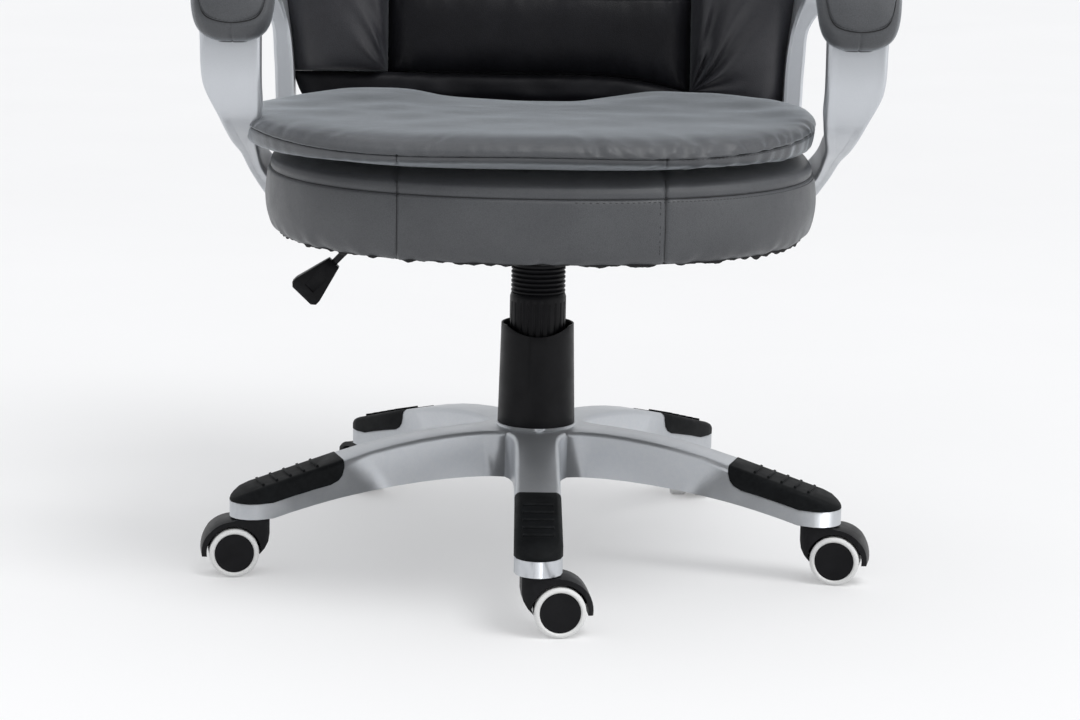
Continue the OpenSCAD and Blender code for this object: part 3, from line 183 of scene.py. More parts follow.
def ripple(u, v, seed, waves=9, low=0.6, high=1.8):
    # Smooth seeded unevenness from -1 to 1: sine waves of random direction, length and phase
    rng = np.random.default_rng(seed)
    draws = zip(rng.uniform(0, pi, waves), rng.uniform(low, high, waves), rng.uniform(0, 6.28, waves))
    total = 0
    for angle, rate, phase in draws:
        total = total + np.sin(2 * pi * rate * (u * np.cos(angle) + v * np.sin(angle)) + phase)
    return total / waves ** 0.5 / 1.4


def creases(run, away, folds):
    # Each fold is a soft valley across the seam: [place along it, slant, width, reach, depth], all in metres
    push = 0 * (run + away)
    for at, slant, width, reach, depth in folds:
        across = run - at - slant * away
        wide = width * (1 + away / reach)
        shape = bell(across, wide) - 0.45 * bell(np.abs(across) - 1.7 * wide, 0.8 * wide)
        push = push - depth * shape * np.exp(-(away / reach) ** 1.5) * (1 - np.exp(-away / 0.003))
    return push


def foldList(seed, start, end, pitch, depth, reach=0.028):
    # Uneven folds from start to end, pitch metres apart on average
    rng = np.random.default_rng(seed)
    at = np.arange(start, end, pitch)
    n = len(at)
    return np.stack([at + rng.uniform(-0.3, 0.3, n) * pitch, rng.uniform(-0.5, 0.5, n),
                     rng.uniform(0.0025, 0.0055, n), reach * rng.uniform(0.5, 1.5, n),
                     depth * rng.uniform(0.35, 1.0, n)], 1)


def frameAlong(path, normals, closed=False):
    # Unit vectors along the path, across it and out of the surface
    along = np.roll(path, -1, 0) - np.roll(path, 1, 0)
    if not closed:
        along[0], along[-1] = path[1] - path[0], path[-1] - path[-2]
    along /= np.linalg.norm(along, axis=1, keepdims=True)
    across = np.cross(along, normals)
    across /= np.linalg.norm(across, axis=1, keepdims=True) + 1e-12
    return along, across, np.cross(across, along)


def rideOn(piece, body, material, slot, *nodes):
    piece.data.materials.clear()
    piece.data.materials.append(material)
    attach(piece, body)
    if nodes:
        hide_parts(*nodes)
    return piece


def paddedPiece(name, grid, material, node):
    piece = rideOn(surface(name, grid), "seat", material, "grey_leather", node)


# Sewing: a line holds points in its first three columns and the surface's normals in the other three

def seamShadeCord(name, line, radius, lift=-0.0002, closed=False):
    # Round cord along a seam, lifted out of the leather or sunk into it: sewing thread whose near-black colour is
    # painted shade in the seam's groove
    path, normals = line[:, :3] + lift * line[:, 3:], line[:, 3:]
    along, across, out = frameAlong(path, normals, closed)
    angle = circle(8)[None, :, None]
    grid = path[:, None, :] + radius * (np.cos(angle) * across[:, None, :] + np.sin(angle) * out[:, None, :])
    rideOn(surface(name, grid, wrapRows=closed), "seat", seamShadeThread, "black_fabric")


def stitchRow(name, line, radius=0.0005, pitch=0.0045, length=0.0031):
    # One small capsule for each stitch, all in one mesh, sunk a little at both ends
    count = max(2, int(np.linalg.norm(np.diff(line[:, :3], axis=0), axis=1).sum() / pitch))
    spots = evenRun(line, count)
    axes = frameAlong(spots[:, :3], spots[:, 3:])
    rows = np.array([-0.5, -0.42, -0.2, 0.2, 0.42, 0.5])[:, None]
    size = np.array([0.3, 0.8, 1.0, 1.0, 0.8, 0.3])[:, None] * radius
    sides = 6
    angle = circle(sides)[None, :]
    capsule = np.stack([rows * length + 0 * angle, size * np.cos(angle),
                        size * np.sin(angle) - radius * 3.2 * rows ** 2], 2).reshape(-1, 3)
    points = spots[:, None, :3]
    for k, axis in enumerate(axes):
        points = points + capsule[None, :, k:k + 1] * axis[:, None, :]
    quads = gridQuads(len(rows), sides, False, True)
    ring, last = np.arange(1, sides - 1), sides * (len(rows) - 1)
    caps = np.vstack([np.stack([0 * ring, ring + 1, ring], 1), last + np.stack([0 * ring, ring, ring + 1], 1)])
    step = len(capsule) * np.arange(count)[:, None, None]
    quads, caps = (quads[None] + step).reshape(-1, 4), (caps[None] + step).reshape(-1, 3)
    rideOn(meshFrom(name, points.reshape(-1, 3), quads, caps), "seat", stitchThread, "black_fabric")


# Materials: small shared effects first, then one function for each finish

def put(tree, kind, values=None, **settings):
    node = tree.nodes.new("ShaderNode" + kind)
    for key, value in settings.items():
        setattr(node, key, value)
    for key, value in (values or {}).items():
        if isinstance(value, bpy.types.NodeSocket):
            tree.links.new(value, node.inputs[key])
        else:
            node.inputs[key].default_value = value
    return node


def maths(tree, kind, *values):
    return put(tree, "Math", dict(enumerate(values)), operation=kind).outputs[0]


def ramp(tree, value, start, end, low=0.0, high=1.0):
    # A value from start to end becomes one from low to high
    return put(tree, "MapRange", {"Value": value, "From Min": start, "From Max": end, "To Min": low,
                                  "To Max": high}).outputs[0]


def objectPlace(tree):
    return put(tree, "TexCoord").outputs["Object"]


def noise(tree, place, scale, detail, roughness=0.5):
    return put(tree, "TexNoise", {"Vector": place, "Scale": scale, "Detail": detail, "Roughness": roughness}).outputs


def newGroup(name, inputs, outputs):
    tree = bpy.data.node_groups.new(name, "ShaderNodeTree")
    for label, value in inputs.items():
        socket = tree.interface.new_socket(label, in_out="INPUT", socket_type="NodeSocketFloat")
        socket.default_value = value
    for label in outputs:
        tree.interface.new_socket(label, in_out="OUTPUT", socket_type="NodeSocketFloat")
    return tree, tree.nodes.new("NodeGroupInput").outputs, tree.nodes.new("NodeGroupOutput").inputs


def grainGroup():
    # Pebbled grain: bent cells give rounded pebbles, and a finer noise breaks them up
    tree, given, out = newGroup("pebbleGrain", {"Scale": 600.0, "Bend": 0.0012}, ["Height", "Valley"])
    place = objectPlace(tree)
    bend = noise(tree, place, 260.0, 2.0)["Color"]
    centred = put(tree, "VectorMath", {0: bend, 1: (0.5, 0.5, 0.5)}, operation="SUBTRACT").outputs[0]
    shift = put(tree, "VectorMath", {0: centred, "Scale": given["Bend"]}, operation="SCALE").outputs[0]
    bent = put(tree, "VectorMath", {0: place, 1: shift}, operation="ADD").outputs[0]
    cells = put(tree, "TexVoronoi", {"Vector": bent, "Scale": given["Scale"]}, feature="DISTANCE_TO_EDGE")
    rounded = put(tree, "MapRange", {"Value": cells.outputs["Distance"], "From Max": 0.22},
                  interpolation_type="SMOOTHSTEP").outputs[0]
    fine = noise(tree, place, 2600.0, 1.0)[0]
    tree.links.new(maths(tree, "MULTIPLY_ADD", fine, 0.25, rounded), out["Height"])
    tree.links.new(maths(tree, "SUBTRACT", 1.0, rounded), out["Valley"])
    return tree


def mottleGroup():
    # Slow change over the surface between two values
    tree, given, out = newGroup("mottle", {"Scale": 14.0, "Low": 0.4, "High": 0.6}, ["Value"])
    cloud = noise(tree, objectPlace(tree), given["Scale"], 4.0, 0.6)[0]
    tree.links.new(ramp(tree, cloud, 0.3, 0.7, given["Low"], given["High"]), out["Value"])
    return tree


def dustGroup():
    # Dust lies on faces that look up, in soft patches
    tree, given, out = newGroup("dust", {"Amount": 0.1, "Scale": 30.0}, ["Mask"])
    up = put(tree, "SeparateXYZ", {0: put(tree, "NewGeometry").outputs["Normal"]}).outputs["Z"]
    patches = ramp(tree, noise(tree, objectPlace(tree), given["Scale"], 6.0, 0.7)[0], 0.42, 0.75)
    both = maths(tree, "MULTIPLY", ramp(tree, up, 0.3, 1.0), patches)
    tree.links.new(maths(tree, "MULTIPLY", both, given["Amount"]), out["Mask"])
    return tree


def wearGroup():
    # Rubbed edges: the sharper the edge, the stronger, broken up by noise
    tree, given, out = newGroup("edgeWear", {"Amount": 0.3}, ["Mask"])
    sharp = ramp(tree, put(tree, "NewGeometry").outputs["Pointiness"], 0.52, 0.6)
    patches = ramp(tree, noise(tree, objectPlace(tree), 220.0, 5.0)[0], 0.4, 0.65)
    tree.links.new(maths(tree, "MULTIPLY", maths(tree, "MULTIPLY", sharp, patches), given["Amount"]), out["Mask"])
    return tree


pebbleGrain, mottle, dust, edgeWear = grainGroup(), mottleGroup(), dustGroup(), wearGroup()


def use(tree, group, **values):
    node = tree.nodes.new("ShaderNodeGroup")
    node.node_tree = group
    for key, value in values.items():
        node.inputs[key].default_value = value
    return node.outputs


def mottled(tree, scale, low, high):
    return use(tree, mottle, Scale=scale, Low=low, High=high)["Value"]


def newMaterial(name, **constants):
    material = bpy.data.materials.new(name)
    material.use_nodes = True
    tree = material.node_tree
    shader = tree.nodes["Principled BSDF"]
    for key, value in constants.items():
        shader.inputs[key.replace("_", " ")].default_value = value
    return material, tree, shader.inputs


def mixColour(tree, factor, a, b):
    node = put(tree, "Mix", {0: factor}, data_type="RGBA")
    for socket, value in ((node.inputs[6], a), (node.inputs[7], b)):
        if isinstance(value, bpy.types.NodeSocket):
            tree.links.new(value, socket)
        else:
            socket.default_value = (*value, 1)
    return node.outputs[2]


def bump(tree, height, strength, distance, under=None):
    values = {"Height": height, "Strength": strength, "Distance": distance}
    if under:
        values["Normal"] = under
    return put(tree, "Bump", values).outputs[0]


def objectNoise(tree, scale, detail=2.0, stretch=(1, 1, 1)):
    turned = put(tree, "Mapping", {"Vector": objectPlace(tree), "Scale": stretch}).outputs[0]
    return noise(tree, turned, scale, detail)[0]


def bands(tree, way, scale, distortion):
    values = {"Vector": objectPlace(tree), "Scale": scale, "Distortion": distortion}
    return put(tree, "TexWave", values, bands_direction=way).outputs[1]


def finish(tree, shader, colour, rough, normal):
    # rough is [scale of the pattern, smoothest, roughest]
    tree.links.new(colour, shader["Base Color"])
    tree.links.new(mottled(tree, *rough), shader["Roughness"])
    tree.links.new(normal, shader["Normal"])


def leatherMaterial(name, dark, light, sheen, gloss=0.5):
    # Coated grey leather: pebbled grain, slow colour change, soft sheen
    material, tree, shader = newMaterial(name, Sheen_Weight=sheen, Sheen_Roughness=0.32,
                                         Sheen_Tint=(0.88, 0.94, 1, 1), Specular_IOR_Level=gloss)
    grain = use(tree, pebbleGrain, Scale=620.0, Bend=0.0012)
    colour = mixColour(tree, mottled(tree, 16.0, 0.0, 1.0), dark, light)
    colour = mixColour(tree, maths(tree, "MULTIPLY", grain["Valley"], 0.35), colour, tuple(0.45 * c for c in dark))
    colour = mixColour(tree, use(tree, dust, Amount=0.03, Scale=22.0)["Mask"], colour, (0.45, 0.45, 0.44))
    soft = bump(tree, objectNoise(tree, 90.0, 3.0), 0.12, 0.002)
    finish(tree, shader, colour, (45.0, 0.36, 0.48), bump(tree, grain["Height"], 0.28, 0.00025, soft))
    return material


def silverMaterial():
    # Silver paint on moulded nylon: fine flake, faint orange peel, dust on top
    material, tree, shader = newMaterial("silverPaint", Coat_Weight=0.12, Coat_Roughness=0.25)
    flake = objectNoise(tree, 2400.0, 1.0)
    colour = mixColour(tree, flake, (0.56, 0.585, 0.62), (0.68, 0.70, 0.73))
    colour = mixColour(tree, use(tree, dust, Amount=0.10, Scale=18.0)["Mask"], colour, (0.50, 0.49, 0.47))
    colour = mixColour(tree, use(tree, edgeWear, Amount=0.25)["Mask"], colour, (0.70, 0.71, 0.72))
    tree.links.new(mottled(tree, 900.0, 0.55, 0.75), shader["Metallic"])
    peel = bump(tree, objectNoise(tree, 420.0, 1.0), 0.05, 0.0006)
    finish(tree, shader, colour, (40.0, 0.33, 0.42), bump(tree, flake, 0.04, 0.0002, peel))
    return material


def plasticMaterial(name, dark, light, roughness, grainScale, grain, gloss, dustAmount=0.02):
    # Moulded plastic with a fine spark-eroded texture
    material, tree, shader = newMaterial(name, Specular_IOR_Level=gloss)
    colour = mixColour(tree, mottled(tree, 35.0, 0.0, 1.0), dark, light)
    colour = mixColour(tree, use(tree, dust, Amount=dustAmount, Scale=40.0)["Mask"], colour, (0.35, 0.34, 0.33))
    rubbed = tuple(min(1, 2.2 * c + 0.01) for c in light)
    colour = mixColour(tree, use(tree, edgeWear, Amount=0.35)["Mask"], colour, rubbed)
    finish(tree, shader, colour, (60.0, *roughness), bump(tree, objectNoise(tree, grainScale, 2.0), grain, 0.0003))
    return material


def steelMaterial(name, dark, light, roughness):
    # Drawn or plated steel: long fine streaks
    material, tree, shader = newMaterial(name)
    streak = objectNoise(tree, 300.0, 4.0, (1, 1, 0.08))
    tree.links.new(mottled(tree, 120.0, 0.85, 1.0), shader["Metallic"])
    finish(tree, shader, mixColour(tree, streak, dark, light), (200.0, *roughness), bump(tree, streak, 0.08, 0.0002))
    return material


def powderMaterial():
    # Black powder coat with its pimpled skin
    material, tree, shader = newMaterial("blackPowderCoat", Specular_IOR_Level=0.25)
    skin = objectNoise(tree, 1100.0, 1.0)
    colour = mixColour(tree, skin, (0.007, 0.007, 0.008), (0.015, 0.015, 0.016))
    finish(tree, shader, colour, (90.0, 0.38, 0.5), bump(tree, skin, 0.3, 0.0003))
    return material


def plyMaterial():
    # Birch plywood: long figure across the board and darker plies on its edge
    material, tree, shader = newMaterial("birchPly")
    figure = objectNoise(tree, 26.0, 5.0, (6, 1, 1))
    colour = mixColour(tree, figure, (0.46, 0.31, 0.17), (0.66, 0.50, 0.31))
    plies = bands(tree, "Z", 130.0, 0.6)
    colour = mixColour(tree, maths(tree, "MULTIPLY", plies, 0.3), colour, (0.26, 0.16, 0.09))
    finish(tree, shader, colour, (70.0, 0.55, 0.75), bump(tree, figure, 0.15, 0.0005))
    return material


def clothMaterial():
    # Thin black spun cloth under the seat: two crossed sets of fine bands
    material, tree, shader = newMaterial("dustCloth")
    weave = maths(tree, "MAXIMUM", bands(tree, "X", 480.0, 1.5), bands(tree, "Y", 480.0, 1.5))
    colour = mixColour(tree, weave, (0.006, 0.006, 0.006), (0.022, 0.022, 0.023))
    finish(tree, shader, colour, (50.0, 0.8, 0.95), bump(tree, weave, 0.4, 0.0004))
    return material


def threadMaterial(name, dark, light):
    # Twisted sewing thread
    material, tree, shader = newMaterial(name)
    twist = objectNoise(tree, 1800.0, 2.0)
    finish(tree, shader, mixColour(tree, twist, dark, light), (300.0, 0.5, 0.7), bump(tree, twist, 0.4, 0.0002))
    return material


leather = leatherMaterial("greyLeather", (0.078, 0.082, 0.089), (0.101, 0.105, 0.1135), sheen=0.92)
# The lower cushion's leather is the seat leather painted a little darker, with less sheen: painted shade for the
# border and the gap under the topper.
shadedBorderLeather = leatherMaterial("shadedBorderLeather", (0.076, 0.079, 0.086), (0.094, 0.098, 0.105), sheen=0.12)
# The back's leathers are the seat leather painted darker: painted shade for the back, which stands in less light, and
# darkest for the recessed centre panel and the roll at its foot.
shadedBackLeather = leatherMaterial("shadedBackLeather", (0.028, 0.028, 0.033), (0.040, 0.040, 0.047), sheen=0.25, gloss=0.45)
shadedPanelLeather = leatherMaterial("shadedPanelLeather", (0.008, 0.008, 0.010), (0.014, 0.014, 0.0175), sheen=0.04, gloss=0.16)
silver = silverMaterial()
blackPlastic = plasticMaterial("blackPlastic", (0.005, 0.005, 0.006), (0.010, 0.010, 0.0115), (0.34, 0.46),
                               grainScale=1500.0, grain=0.12, gloss=0.14, dustAmount=0.01)
padPlastic = plasticMaterial("footPadPlastic", (0.004, 0.0045, 0.005), (0.008, 0.009, 0.010), (0.5, 0.62),
                             grainScale=900.0, grain=0.25, gloss=0.1, dustAmount=0.006)
whiteTread = plasticMaterial("whiteTread", (0.84, 0.84, 0.83), (0.90, 0.90, 0.89), (0.38, 0.5),
                             grainScale=700.0, grain=0.06, gloss=0.5)
whitePlastic = plasticMaterial("whitePlastic", (0.66, 0.66, 0.62), (0.76, 0.76, 0.72), (0.3, 0.4),
                               grainScale=900.0, grain=0.05, gloss=0.5)
zincSteel = steelMaterial("zincSteel", (0.44, 0.45, 0.46), (0.62, 0.63, 0.64), (0.25, 0.4))
springSteel = steelMaterial("springSteel", (0.10, 0.10, 0.11), (0.24, 0.24, 0.25), (0.3, 0.45))
# The seam cords' thread is near-black, darker than the stitch thread: painted shade in the seams' grooves.
seamShadeThread = threadMaterial("seamThreadAndShade", (0.006, 0.006, 0.007), (0.016, 0.016, 0.018))
stitchThread = threadMaterial("stitchThread", (0.022, 0.023, 0.026), (0.060, 0.062, 0.068))
powderCoat, birchPly, dustCloth = powderMaterial(), plyMaterial(), clothMaterial()
print("materials done")


# Rigid pieces: each is a copy of its CAD solid with merged corners and rounded edges

bodyOf = {node: body for body, nodes in frame["record"]["behaviour"]["bodies"].items() for node in nodes}
# Start of the node's name, and how far its edges are rounded in millimetres
rigidLooks = [
    (silver, "silver_plastic", dict(star_base=0.9)),
    (padPlastic, "pad_black", dict(foot_pads=0.4)),
    (zincSteel, "zinc_steel", dict(caster_stems=0.3, thrust_bearing=0.3, piston_rod=0.3, retaining_clip=0.2,
                                   pivot_pin=0.5, seat_bolts=0.3, arm_bolts=0.3, back_bolts=0.3, bracket_bolts=0.3,
                                   caster_axle=0.3)),
    (powderCoat, "black_steel", dict(column_tube=0.3, gas_cylinder=0.3, mechanism_housing=0.6, lever_rod=0.3,
                                     seat_plate=0.6, back_bracket=0.6)),
    (whitePlastic, "white_plastic", dict(guide_bush=0.3, release_pin=0.3, lever_bush=0.3)),
    (blackPlastic, "black_plastic", dict(cover_lower=0.5, cover_middle=0.3, cover_upper=0.2, lever_grip=1.2,
                                         caster_hood=0.7, wheel_hubs=0.4)),
    (birchPly, "plywood", dict(seat_pan=0.6, back_board=0.6)),
    (dustCloth, "black_fabric", dict(dust_cover=0.1)),
    (whiteTread, "white_tread", dict(wheel_treads=0.3)),
]
sharpAngle = radians(32)


def dressNode(node, material, slot, edge):
    bm = bmesh.new()
    bm.from_mesh(frame["nodes"][node].data)
    bmesh.ops.remove_doubles(bm, verts=bm.verts, dist=1e-6)
    bmesh.ops.dissolve_limit(bm, angle_limit=radians(0.4), verts=bm.verts, edges=bm.edges)
    corners = [e for e in bm.edges if len(e.link_faces) == 2 and e.calc_face_angle(0) > sharpAngle]
    bmesh.ops.bevel(bm, geom=corners, offset=edge * mm, segments=2, profile=0.5, affect="EDGES", clamp_overlap=True)
    bmesh.ops.triangulate(bm, faces=[f for f in bm.faces if len(f.verts) > 4])
    mesh = bpy.data.meshes.new(node + "_finish")
    bm.to_mesh(mesh)
    bm.free()
    mesh.shade_smooth()
    mesh.set_sharp_from_angle(angle=sharpAngle)
    rideOn(newObject(node + "_finish", mesh), bodyOf[node], material, slot, node)


for node in frame["nodes"]:
    for material, slot, edges in rigidLooks:
        for start, edge in edges.items():
            if node.startswith(start):
                dressNode(node, material, slot, edge)
print("rigid pieces done")


# Seat: plan curves are superellipses, fuller behind than in front, about a line ahead of the column

seatShift = 0.040
seatPowers = dict(front=2.3, rear=2.6)
seamPlaces = (-0.139, 0.115)        # the joins in the front of the border and of the topper's strip


def planOf(node):
    # The node's underside, its half width and its reach ahead of the line and behind it
    low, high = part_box(node)
    return low.z, high.x, -low.y - seatShift, high.y + seatShift


def seatPlan(angle, halfWidth, front, rear):
    c, s = np.cos(angle), np.sin(angle)
    power = 2 / np.where(s < 0, seatPowers["front"], seatPowers["rear"])
    x = halfWidth * np.sign(c) * np.abs(c) ** power
    y = np.where(s < 0, front, rear) * np.sign(s) * np.abs(s) ** power - seatShift
    return x, y


def planAngles(count, halfWidth, front, rear, seams=(), pull=4.0):
    # Angles whose points are evenly spaced along the curve, but closer together near the seams
    fine = np.linspace(-pi, pi, 20001)
    x, y = seatPlan(fine, halfWidth, front, rear)
    middle = 0.5 * (x[1:] + x[:-1])
    weight = 1 + pull * sum(bell(middle - seam, 0.006) for seam in seams) * (y[1:] < -seatShift)
    far = np.concatenate([[0], np.cumsum(np.hypot(np.diff(x), np.diff(y)) * weight)])
    return np.interp(np.linspace(0, far[-1], count, endpoint=False), far, fine)


def ringLength(x, y):
    return np.concatenate([[0], np.cumsum(np.hypot(np.diff(x), np.diff(y)))])[None, :]


cushionSet = dict(
    columns=860,
    rowsPerSpan=6,
    seamHeight=63.6,
    # [inset, height above the seat plate] from the underside round the border to the middle
    profile=[(40, 13.5), (21.6, 12.9), (21.6, 1.4), (16, 0.2), (12.6, 1.2), (6, 7.2), (1.8, 18.2), (0, 34), (0.8, 50),
             (2.2, 59), (3.8, 62.2), (5.8, 63.6), (5.0, 65.8), (6, 70.6), (12.5, 76.2), (38, 81.8), (72, 82.6),
             (150, 82.8), (215, 82.8)],
    seamDepth=1.5, seamWidth=1.6,
    swell=0.5, swellAway=9, swellWidth=8,       # the leather beside a sewn line
    hemRipple=0.9,
    borderWave=0.5,
)


def lowerCushion(c):
    bottom, halfWidth, front, rear = planOf("seat_cushion")
    angle = planAngles(c["columns"], halfWidth, front, rear, seamPlaces)
    inset, height = (column[:, None] for column in (smoothRun(c["profile"], c["rowsPerSpan"]) * mm).T)
    x, y = seatPlan(angle[None, :], halfWidth - inset, front - inset, rear - inset)
    grid = np.stack([x, y, bottom + height + 0 * x], 2)
    normals = gridNormals(grid)
    # Sewn lines are narrow valleys with the leather swelling beside them
    facing = (y < -seatShift) * bell(np.maximum(inset - 0.05, 0), 0.02)
    push = 0 * x
    for seam in seamPlaces:
        away = x - seam
        push -= c["seamDepth"] * mm * bell(away, c["seamWidth"] * mm) * facing
        push += c["swell"] * mm * bell(np.abs(away) - c["swellAway"] * mm, c["swellWidth"] * mm) * facing
    outer = len(x) // 3
    run = ringLength(x[outer], y[outer])
    hem = bell(height - 0.004, 0.010) * (inset < 0.02)
    push += c["hemRipple"] * mm * hem * ripple(26 * run, 0 * run, 5)
    push += c["borderWave"] * mm * ripple(7 * run, 12 * (height + bottom), 8) * bell(height - 0.035, 0.03)
    grid = grid + normals * push[..., None]
    paddedPiece("lower_cushion", grid, shadedBorderLeather, "seat_cushion")
    return np.concatenate([grid, normals], 2)


cushionGrid = lowerCushion(cushionSet)


def uprightLine(lines, rows, seam):
    # Points and normals of the front at one x, row by row
    found = []
    for r in rows:
        front = lines[r][lines[r, :, 1] < -seatShift - 0.02]
        front = front[np.argsort(front[:, 0])]
        found.append([np.interp(seam, front[:, 0], column) for column in front.T])
    return np.array(found)


def lowerSeams(c, lines):
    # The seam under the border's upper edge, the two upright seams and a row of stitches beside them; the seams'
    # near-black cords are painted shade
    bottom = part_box("seat_cushion")[0].z
    height = lines[:, 0, 2] - bottom
    row = int(np.argmin(np.abs(height - c["seamHeight"] * mm) + 10 * (height < 0)))
    seamShadeCord("border_seam_shade", evenRun(lines[row], 900, closed=True), radius=0.0006, closed=True)
    hemRows = 24                        # rows on the underside and round the lower edge
    start = int(np.argmin(np.abs(height - 0.004) + 1.0 * (np.arange(len(lines)) < hemRows)))
    for seam, name in zip(seamPlaces, ("left", "right")):
        line = uprightLine(lines, range(start, row + 22), seam)
        seamShadeCord("upright_seam_shade_" + name, evenRun(line, 160), radius=0.0005)
    # Visible stitches: under the seam on the right side, and left of the right upright seam
    below = lines[row - 9]
    stitchRow("border_stitches", below[(below[:, 0] > 0.03) & (below[:, 1] < 0.05)])
    stitchRow("upright_stitches", uprightLine(lines, range(start + 6, row - 9), seamPlaces[1] - 0.005))


lowerSeams(cushionSet, cushionGrid)


# Raw edge of the black cloth under the seat: [inset, rise, share of the droop] round its flat section
hemSet = dict(columns=700, section=[(17.5, 3.0, 0), (14.6, 2.6, 0.4), (13.9, 0.6, 1), (14.3, -0.2, 1), (15.8, 0.0, 1),
                                    (17.9, 2.6, 0)],
              coarse=1.9, fine=0.8, least=0.7, looser=1.2, most=3.8)


def hemCloth(c):
    # Stapled unevenly along the border's lower edge, and looser on the right
    bottom, halfWidth, front, rear = planOf("seat_cushion")
    angle = planAngles(c["columns"], halfWidth, front, rear)
    x, y = seatPlan(angle, halfWidth, front, rear)
    run = ringLength(x, y)
    inset, rise, share = (column[:, None] for column in np.array(c["section"]).T)
    ragged = c["coarse"] * ripple(30 * run, 0 * run, 3, 14, 0.5, 2.4) + c["fine"] * ripple(90 * run, 0 * run, 6)
    loose = c["least"] + c["looser"] * softStep(x, 0.05, 0.02)
    drop = share * np.clip(ragged + loose, 0, c["most"])
    inset = inset * mm
    x, y = seatPlan(angle[None, :], halfWidth - inset, front - inset, rear - inset)
    piece = surface("hem_cloth", np.stack([x, y, bottom + (rise - drop) * mm], 2), wrapRows=True)
    rideOn(piece, "seat", dustCloth, "black_fabric")


hemCloth(hemSet)


topperSet = dict(
    columns=900,
    rowsPerSpan=6,
    # [inset, height, share of the edge's lift, share of the top's shape]
    profile=[(190, 0.3, 0, 0), (120, 0, 0, 0), (66, 0, 0, 0), (44, 3, 0, 0), (20, 7.6, -0.3, 0), (9, 10, -0.3, 0),
             (3.6, 12.4, -0.05, 0), (1.4, 15, 0.6, 0), (1.4, 16.3, 0.9, 0), (2.8, 17, 1, 0), (0.8, 17.8, 1, 0.05),
             (0, 19.5, 1, 0.1), (2.4, 24.4, 1, 0.3), (11, 30.8, 0.9, 0.6), (32, 35.7, 0.5, 0.9), (80, 37.4, 0.1, 1),
             (150, 38, 0, 1), (190, 38, 0, 1)],
    seamRise=17,
    edgeLift=12,
    frontLift=6,
    shift=-12.5,                    # the pad was sewn on a little to the left
    wider=4.0,
    hump=5, dip=15,
    # [seed, from, to, pitch, depth, reach] of the folds along the seam, in metres from the front's middle
    folds=[(4, 0.215, 0.36, 0.0125, 0.0018, 0.013), (9, 0.045, 0.215, 0.019, 0.0027, 0.026),
           (13, -0.30, 0.03, 0.030, 0.0008), (15, -0.55, -0.32, 0.022, 0.0009, 0.018),
           (17, 0.40, 0.62, 0.020, 0.0009, 0.015)],
    wave=1.0, gather=0.6,
    joinDepth=1.1, joinWidth=1.4,
)


def topperShape(c, x, y):
    # Two low humps over the thighs' rear and a broad flat dip between them
    humps = c["hump"] * bell(np.abs(x) - 0.168, 0.090) * bell(y - 0.105, 0.080)
    return humps - c["dip"] * np.exp(-(x / 0.104) ** 4) * bell(y - 0.165, 0.090)


def seatTopper(c):
    bottom, halfWidth, front, rear = planOf("seat_topper")
    halfWidth = halfWidth + c["wider"] * mm
    angle = planAngles(c["columns"], halfWidth, front, rear, [seam - c["shift"] * mm for seam in seamPlaces], 2.0)
    profile = smoothRun(c["profile"], c["rowsPerSpan"])
    inset, rise, lift, share = (column[:, None] for column in profile.T)
    x, y = seatPlan(angle[None, :], halfWidth - inset * mm, front - inset * mm, rear - inset * mm)
    # The ends curl up, less so behind on the left
    curl = (np.abs(x) / halfWidth) ** 4 * (1 - 0.85 * bell(y - 0.12, 0.16) * softStep(-x, 0, 0.03))
    rise = rise + 0 * x
    high = rise + c["edgeLift"] * lift * curl + share * topperShape(c, x, y)
    high = high + c["frontLift"] * bell(x, 0.15) * bell(y + 0.33, 0.10)
    x = x + c["shift"] * mm
    grid = np.stack([x, y, bottom + high * mm], 2)
    normals = gridNormals(grid)
    middle = len(x) // 2
    run = ringLength(x[middle], y[middle])
    onTop = softStep(rise, 18.4, 0.4)
    strip = (1 - onTop) * (rise > 6)
    # Distance from the seam, up over the top
    away = np.cumsum(np.hypot(np.diff(profile[:, 0], prepend=profile[0, 0]), np.diff(profile[:, 1], prepend=0))) * mm
    away = np.maximum(away - away[int(np.argmax(onTop[:, 0] > 0.5))], 0)[:, None]
    # The run starts at the left end of the rear, so the front's middle is about half way
    half = run[0, int(np.argmin(y[middle]))]
    push = onTop * creases(run - half, away, np.vstack([foldList(*fold) for fold in c["folds"]]))
    # Slow waves over the top and gathers in the side strip
    push += c["wave"] * mm * ripple(9 * x, 11 * y, 21) * onTop * bell(y + 0.02, 0.2)
    push += c["gather"] * mm * strip * ripple(34 * run, 0 * run + 2, 9) * (0.4 + (x > 0.1))
    for seam in seamPlaces:
        push -= c["joinDepth"] * mm * bell(x - seam, c["joinWidth"] * mm) * strip * (y < -seatShift)
    grid = grid + normals * push[..., None]
    paddedPiece("seat_topper_pad", grid, leather, "seat_topper")
    return np.concatenate([grid, normals], 2), profile[:, 1]


topperGrid, topperRise = seatTopper(topperSet)


def topperSeams(c, lines, rise):
    # Near-black cord in the seam all round as painted shade, stitches in the side strip below it, and the strip's two
    # joins
    underRows = 30                      # rows on the underside
    row = int(np.argmin(np.abs(rise - c["seamRise"]) + (np.arange(len(rise)) < underRows)))
    seamShadeCord("topper_seam_shade", evenRun(lines[row], 1000, closed=True), radius=0.0009, lift=0.0001, closed=True)
    below = lines[row - 8]
    stitchRow("topper_stitches", below[(below[:, 0] > 0.13) & (below[:, 1] < 0.03)], radius=0.00042)
    for seam, name in zip(seamPlaces, ("left", "right")):
        line = uprightLine(lines, range(row - 26, row), seam)
        seamShadeCord("strip_join_shade_" + name, evenRun(line, 40), radius=0.0005)


topperSeams(topperSet, topperGrid, topperRise)
print("seat done")


# Arms: a closed loop with beads along both edges of its outer face

